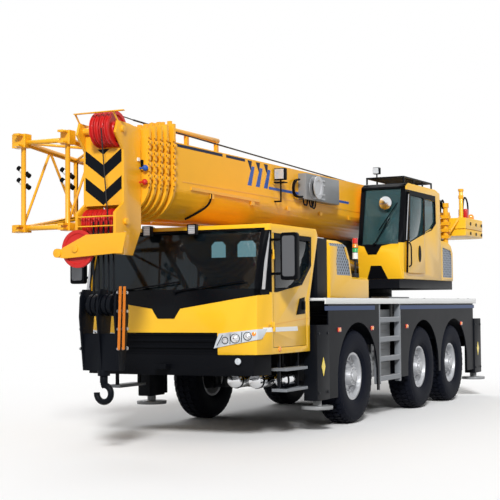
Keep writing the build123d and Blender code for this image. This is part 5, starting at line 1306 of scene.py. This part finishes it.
# Each row is a finish with the band's lowest and highest point.
TOWER_BANDS = [
    ("red_lens", 2.565, 2.640), ("amber_lens", 2.500, 2.560), ("green_lens", 2.435, 2.495),
    ("white_paint", 2.335, 2.430)]
for look, low, high in TOWER_BANDS:
    step = (high - low) / RIBS
    outline = [(0.030, 0.0)]
    for rib in range(RIBS):
        outline += [(0.039, (rib + 0.1) * step), (0.041, (rib + 0.5) * step), (0.039, (rib + 0.9) * step)]
    outline.append((0.030, high - low))
    make_each(add_turned, f"tower_{look}", "carrier", look, [((-0.330, 1.190, low), (0, 0, 1), outline)])
for name, look, x, y, radius in (
        ("rear_beacon", "amber_lens", -6.45, 1.10, 0.062), ("rear_lamp", "lamp_face", -6.62, 1.05, 0.034)):
    make_each(add_stud, f"{name}_base", "superstructure", "black_plastic", [
        ((x, y, 3.250), (0, 0, 0.030), 1.1 * radius, 20)])
    outline = [(radius, 0.0), (radius, 0.045), (0.85 * radius, 0.075), (0.5 * radius, 0.095)]
    make_dome(f"{name}_dome", "superstructure", look, (x, y, 3.280), (0, 0, 1), outline, 0.100, 24)

# %% [markdown]
# The winch drum carries layers of rope. One torus after another, side by side, reads as a winding.
# A hose and a stay by the column, and the counterweight's plugs, finish the rear.

# %% Rear of the superstructure
DRUM_AT = (-5.850, 0.0, 3.220)
DRUM_R = 0.190
DRUM_GAP = 0.001
ROPE_PITCH = 0.024
ROPE_TURNS = 25
windings = []
for turn in range(ROPE_TURNS):
    along = ROPE_PITCH * (turn + 0.5) - 0.300
    windings.append((DRUM_AT, (0, 1, 0), [
        (DRUM_R + DRUM_GAP + ROPE_R * (1 + sin(k * pi / 3)), along + ROPE_R * cos(k * pi / 3))
        for k in range(6)], 36))
make_each(add_turned, "rope_winding", "superstructure", "rope", windings)
make_tube("column_hose", "superstructure", [
    (-5.58, 1.205, 3.26), (-5.60, 1.205, 3.50), (-5.70, 1.205, 3.66), (-5.88, 1.205, 3.60),
    (-5.94, 1.205, 3.42), (-5.90, 1.205, 3.26)], 0.016)
make_each(add_rod, "column_fittings", "superstructure", "boom_paint", [
    ((-5.495, 1.205, 3.30), (-5.15, 0.95, 2.78), 0.022, 10),
    ((-5.495, 1.205, 3.60), (-5.495, 1.205, 3.66), 0.048, 16),
    ((-5.495, 1.205, 3.735), (-5.495, 1.205, 3.778), 0.050, 16)])
make_each(add_block, "red_coupling", "superstructure", "red_sheave", [
    ((-5.72, 1.12, 3.245), (-5.60, 1.28, 3.42))], 0.012)
make_each(add_stud, "weight_plugs", "superstructure", "dark_grey", [
    ((x, side * 1.299, z), (0, side * 0.012, 0), 0.030, 16)
    for side in (1, -1) for x in (-5.75, -6.10, -6.45) for z in (2.975, 3.150)])
print("superstructure is dressed")

# %% [markdown]
# Below the deck the crane is dark, so its small coloured marks matter: blue film on the deck's edge,
# marker lamps and rhombus reflectors on the outrigger housings.

# %% Marks on the deck and the housings
PANEL_Y = 1.3550
MARKER_X = (0.70, -0.54, -2.04, -4.89)
MARKER_Z = 1.335
DECK_FILM_X = [(1.19, -0.66), (-1.74, -5.70)]
# Each row is a name, a finish, the half length and half height of a marker, its reach and its radius.
MARKER_PARTS = [
    ("bases", "red_lens", 0.055, 0.032, 0.010, 0.008), ("lenses", "amber_lens", 0.040, 0.020, 0.018, 0.006)]


def make_deck_marks(name, side):
    make_each(add_block, f"deck_film_{name}", "carrier", "film_blue", [
        ((x0, side * (PANEL_Y - 0.001), 1.600), (x1, side * (PANEL_Y + 0.002), 1.660))
        for x0, x1 in DECK_FILM_X])
    for label, look, long, high, reach, rounded in MARKER_PARTS:
        make_each(add_block, f"marker_{label}_{name}", "carrier", look, [
            ((x - long, side * PANEL_Y, MARKER_Z - high),
             (x + long, side * (PANEL_Y + reach), MARKER_Z + high)) for x in MARKER_X], rounded)


def make_housing_marks(place, name, side):
    body = f"outrigger_beam_{place}_{name}"
    low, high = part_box(body)
    x = (low.x + high.x) / 2 - AXLE_X
    y = (high.y if side > 0 else -low.y) - 0.001
    rhombus = [(x, 0.735), (x + 0.060, 0.860), (x, 0.985), (x - 0.060, 0.860)]
    make_each(add_side_plate, f"reflector_{place}_{name}", body, "yellow_reflector", [
        (rhombus, side, y, 0.004)])
    make_each(add_stud, f"housing_bolts_{place}_{name}", body, "dark_grey", [
        ((x + shift, side * y, z), (0, side * 0.014, 0), 0.018)
        for z in (0.52, 1.30) for shift in (-0.15, 0.15)])


for name, side in SIDES.items():
    make_deck_marks(name, side)
    for place in ("front", "rear"):
        make_housing_marks(place, name, side)

# %% [markdown]
# Pale grey panels close the spaces behind the ladders, with rounded louvres. Each rung has a ribbed
# tread. The ribs are thin bars repeated along the rung. A red and an amber lamp sit on each side of
# the frame's rear end.

# %% Ladder treads and rear lamps
RUNG_TOP_Z = (0.610, 0.900, 1.190, 1.480)
RIB_Y = (1.277, 1.2905, 1.304, 1.3175, 1.331, 1.3445)
LOUVRES = 9
rear_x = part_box("chassis_frame")[0].x - AXLE_X + 0.001
for name, side in SIDES.items():
    make_each(add_block, f"ladder_treads_{name}", "carrier", "steel", [
        ((-1.710, side * y, z - 0.001), (-0.890, side * (y + 0.006), z + 0.006))
        for z in RUNG_TOP_Z for y in RIB_Y])
    bm = bmesh.new()
    add_block(bm, (-1.700, side * 1.150, 0.60), (-0.900, side * 1.200, 1.60))
    for count in range(LOUVRES):
        z = 0.68 + 0.095 * count
        add_block(bm, (-1.640, side * 1.195, z), (-0.960, side * 1.214, z + 0.030))
    round_edges(bm, 0.006, 1)
    make_piece(f"ladder_panel_{name}", "carrier", "grey_paint", bm)
    for look, y in (("red_lens", 1.05), ("amber_lens", 0.93)):
        make_dome(
            f"rear_{look}_{name}", "carrier", look, (rear_x, side * y, 1.02), (-1, 0, 0),
            [(0.050, 0.0), (0.050, 0.016), (0.036, 0.024)], 0.028, 24)
print("marks are on")

# %% [markdown]
# Work lamps on the cab's roof, the cab's side crease with its painted shade, the air tanks under its
# floor and two panes at its back that glow with painted daylight are small, but the eye looks for
# them on the front of the crane.

# %% More of the driving cab
ROOF_LAMP_Y = (-0.400, 0.260)
ROOF_LAMP_X = 2.835
ROOF_LAMP_Z = (2.570, 2.700)
RIM = 0.012
# The crease is a thin raised line, once on the door and once in front of it; its darker boom paint is
# painted shade along the crease.
CREASE_HALF = 0.004
CREASES = [("door", 1.560, 1.507, 2.640, 1.441), ("carrier", 2.670, 1.440, 2.800, 1.432)]
# Each row is X, Y and length of a tank that hangs under the cab's floor.
AIR_TANKS = [(2.12, 0.600, 0.60), (2.10, 0.885, 0.60), (1.95, 1.130, 0.40)]
AIR_TANK_Z = 0.725
AIR_TANK_R = 0.100
CAB_FLOOR_Z = 1.080
# The rear panes glow with painted daylight, as light shines through the cab from behind.
REAR_PANES = [(-0.178, 0.038), (0.222, 0.498)]
REAR_PANE_X = 1.505


def make_roof_lamps():
    rims, faces = bmesh.new(), bmesh.new()
    low, high = ROOF_LAMP_Z
    for y in ROOF_LAMP_Y:
        left, right = y - 0.050, y + 0.050
        for y0, y1, z0, z1 in (
                (left - RIM, left, low, high), (right, right + RIM, low, high),
                (left - RIM, right + RIM, low, low + RIM), (left - RIM, right + RIM, high - RIM, high)):
            add_block(rims, (ROOF_LAMP_X - 0.002, y0, z0), (ROOF_LAMP_X + 0.012, y1, z1))
        add_block(faces, (ROOF_LAMP_X - 0.002, left, low + RIM), (ROOF_LAMP_X + 0.004, right, high - RIM))
        for count in range(4):
            z = low + 0.030 + 0.023 * count
            add_block(rims, (ROOF_LAMP_X, left, z), (ROOF_LAMP_X + 0.008, right, z + 0.003))
    make_piece("roof_lamp_rims", "carrier", "black_plastic", rims)
    make_piece("roof_lamp_faces", "carrier", "lamp_face", faces)


def make_air_tanks():
    tanks, straps = [], bmesh.new()
    for x, y, length in AIR_TANKS:
        half = length / 2
        end = [(POLE, -half), (0.06, 0.012 - half), (0.09, 0.040 - half), (AIR_TANK_R, 0.075 - half)]
        end += [(radius, -along) for radius, along in reversed(end)]
        tanks.append(((x, y, AIR_TANK_Z), (1, 0, 0), end, 32))
        for strap_x in (x - 0.30 * length, x + 0.30 * length):
            band = ring(AIR_TANK_R, 0.006, -0.015, 0.015)
            add_turned(straps, (strap_x, y, AIR_TANK_Z), (1, 0, 0), band, 32)
            add_block(
                straps, (strap_x - 0.015, y - 0.02, AIR_TANK_Z + AIR_TANK_R),
                (strap_x + 0.015, y + 0.02, CAB_FLOOR_Z))
    make_each(add_turned, "air_tanks", "carrier", "chrome", tanks)
    make_piece("air_tank_straps", "carrier", "black_plastic", straps)


make_roof_lamps()
make_air_tanks()
for name, side in SIDES.items():
    for part, x0, z0, x1, z1 in CREASES:
        low, high = -CREASE_HALF, CREASE_HALF
        crease = [(x0, z0 + low), (x1, z1 + low), (x1, z1 + high), (x0, z0 + high)]
        body = f"cab_door_{name}" if part == "door" else "carrier"
        # The ridge wears the darker boom paint as painted shade of the crease.
        make_each(add_side_plate, f"crease_{part}_{name}", body, "boom_paint", [
            (crease, side, DOOR_FACE, 0.005)])
panes = []
for y0, y1 in REAR_PANES:
    outline = [
        (y0, 2.332), (y1, 2.332), (y1, 2.498), (y1 - 0.05, 2.548), (y0 + 0.05, 2.548), (y0, 2.498)]
    panes.append((outline, REAR_PANE_X, 0.004))
make_each(add_front_plate, "rear_panes", "carrier", "glowing_daylight_pane", panes)

# %% [markdown]
# The box on the boom's side feeds a hose reel. Its spool stands on the front of the box, with
# fittings and loops of hose. Two pairs of clamps on the jib hold its ropes on the road.

# %% Hose reel and jib clamps
REEL = (-0.33, 0.545, 3.405)
REEL_OUTLINE = [
    (POLE, 0.0), (0.170, 0.0), (0.170, 0.012), (0.085, 0.016), (0.085, 0.066), (0.170, 0.070),
    (0.170, 0.084), (0.110, 0.084), (0.095, 0.070), (POLE, 0.070)]
CLAMPS = [(-1.178, 3.296), (-1.178, 3.154), (-0.545, 3.244), (-0.545, 3.121)]
bm = bmesh.new()
add_turned(bm, REEL, (0, 1, 0), REEL_OUTLINE, 40)
for count in range(8):
    angle = count * pi / 4
    foot = (REEL[0] + 0.135 * cos(angle), 0.626, REEL[2] + 0.135 * sin(angle))
    add_stud(bm, foot, (0, 0.008, 0), 0.014)
for z in (3.26, 3.33, 3.47, 3.54):
    add_block(bm, (-0.72, 0.548, z - 0.012), (-0.56, 0.560, z + 0.012))
make_piece("hose_reel", "boom", "aluminium", bm)
make_each(add_turned, "reel_hose", "boom", "black_plastic", [
    (REEL, (0, 1, 0), [
        (0.100 + 0.012 * cos(k * pi / 3), along + 0.006 * sin(k * pi / 3)) for k in range(6)], 36)
    for along in (0.026, 0.039, 0.052)])
for count, x in enumerate((-0.50, -0.42, -0.20)):
    make_tube(f"reel_loop_{count}", "boom", [
        (x, 0.500, 3.235), (x + 0.01, 0.500, 3.14), (x + 0.07, 0.500, 3.10 + 0.02 * count),
        (x + 0.14, 0.500, 3.14), (x + 0.15, 0.500, 3.235)], 0.012)
# Each row is a piece, its finish, its half length across, its lean and its radius.
for name, look, across, lean, radius in (
        ("jib_clamps", "black_plastic", 0.085, 0.055, 0.030),
        ("jib_clamp_collars", "white_paint", 0.035, 0.023, 0.036)):
    make_each(add_rod, name, "boom", look, [
        ((4.37, y - across, z + lean), (4.37, y + across, z - lean), radius) for y, z in CLAMPS])

# %% [markdown]
# Behind the operator's cab the winch's motor, valves and pipes stand in the open. The deck carries
# a bright plate and bolts, and pipes run along the frame.

# %% Fittings on the deck and behind the cab
MOTOR_OUTLINE = [
    (POLE, 0.0), (0.130, 0.0), (0.130, 0.040), (0.105, 0.050), (0.105, 0.260), (0.080, 0.280),
    (0.080, 0.360), (0.050, 0.370), (POLE, 0.370)]
PIPE_X = (1.00, 0.4, -1.0, -5.2)
bm = bmesh.new()
add_turned(bm, (-5.25, 0.560, 3.060), (0, 1, 0), MOTOR_OUTLINE, 28)
add_rod(bm, (-5.14, 1.02, 2.70), (-5.14, 1.02, 3.42), 0.045, 16)
add_rod(bm, (-5.30, 0.62, 3.30), (-5.30, 1.04, 3.30), 0.050, 16)
add_rod(bm, (-5.14, 1.02, 3.42), (-5.14, 1.02, 3.50), 0.062, 16)
for z in (2.86, 2.98, 3.10, 3.22):
    add_block(bm, (-5.20, 0.96, z), (-5.07, 1.10, z + 0.055))
make_piece("winch_motor", "superstructure", "boom_paint", bm)
for count in range(3):
    shift = 0.06 * count
    make_tube(f"motor_hose_{count}", "superstructure", [
        (-5.10, 0.98 - shift, 3.40), (-5.02, 0.98 - shift, 3.52), (-5.20, 0.96 - shift, 3.58),
        (-5.38, 0.92 - shift, 3.46), (-5.40, 0.90 - shift, 3.28)], 0.015)
    for name, side in SIDES.items():
        pipe = [(x, side * 0.47, 1.62 - 0.045 * count) for x in PIPE_X]
        make_tube(f"frame_pipe_{count}_{name}", "carrier", pipe, 0.014)
make_each(add_block, "deck_plate", "carrier", "aluminium", [
    ((-3.40, 0.620, 1.768), (-2.42, 0.920, 1.800))])
make_each(add_stud, "deck_bolts", "carrier", "steel", [
    ((x, side * 1.290, 1.768), (0, 0, 0.008), 0.018)
    for x in (-5.55, -4.95, -3.10, -2.10, -0.55, 0.35, 1.05) for side in (1, -1)])
print("small parts are on")
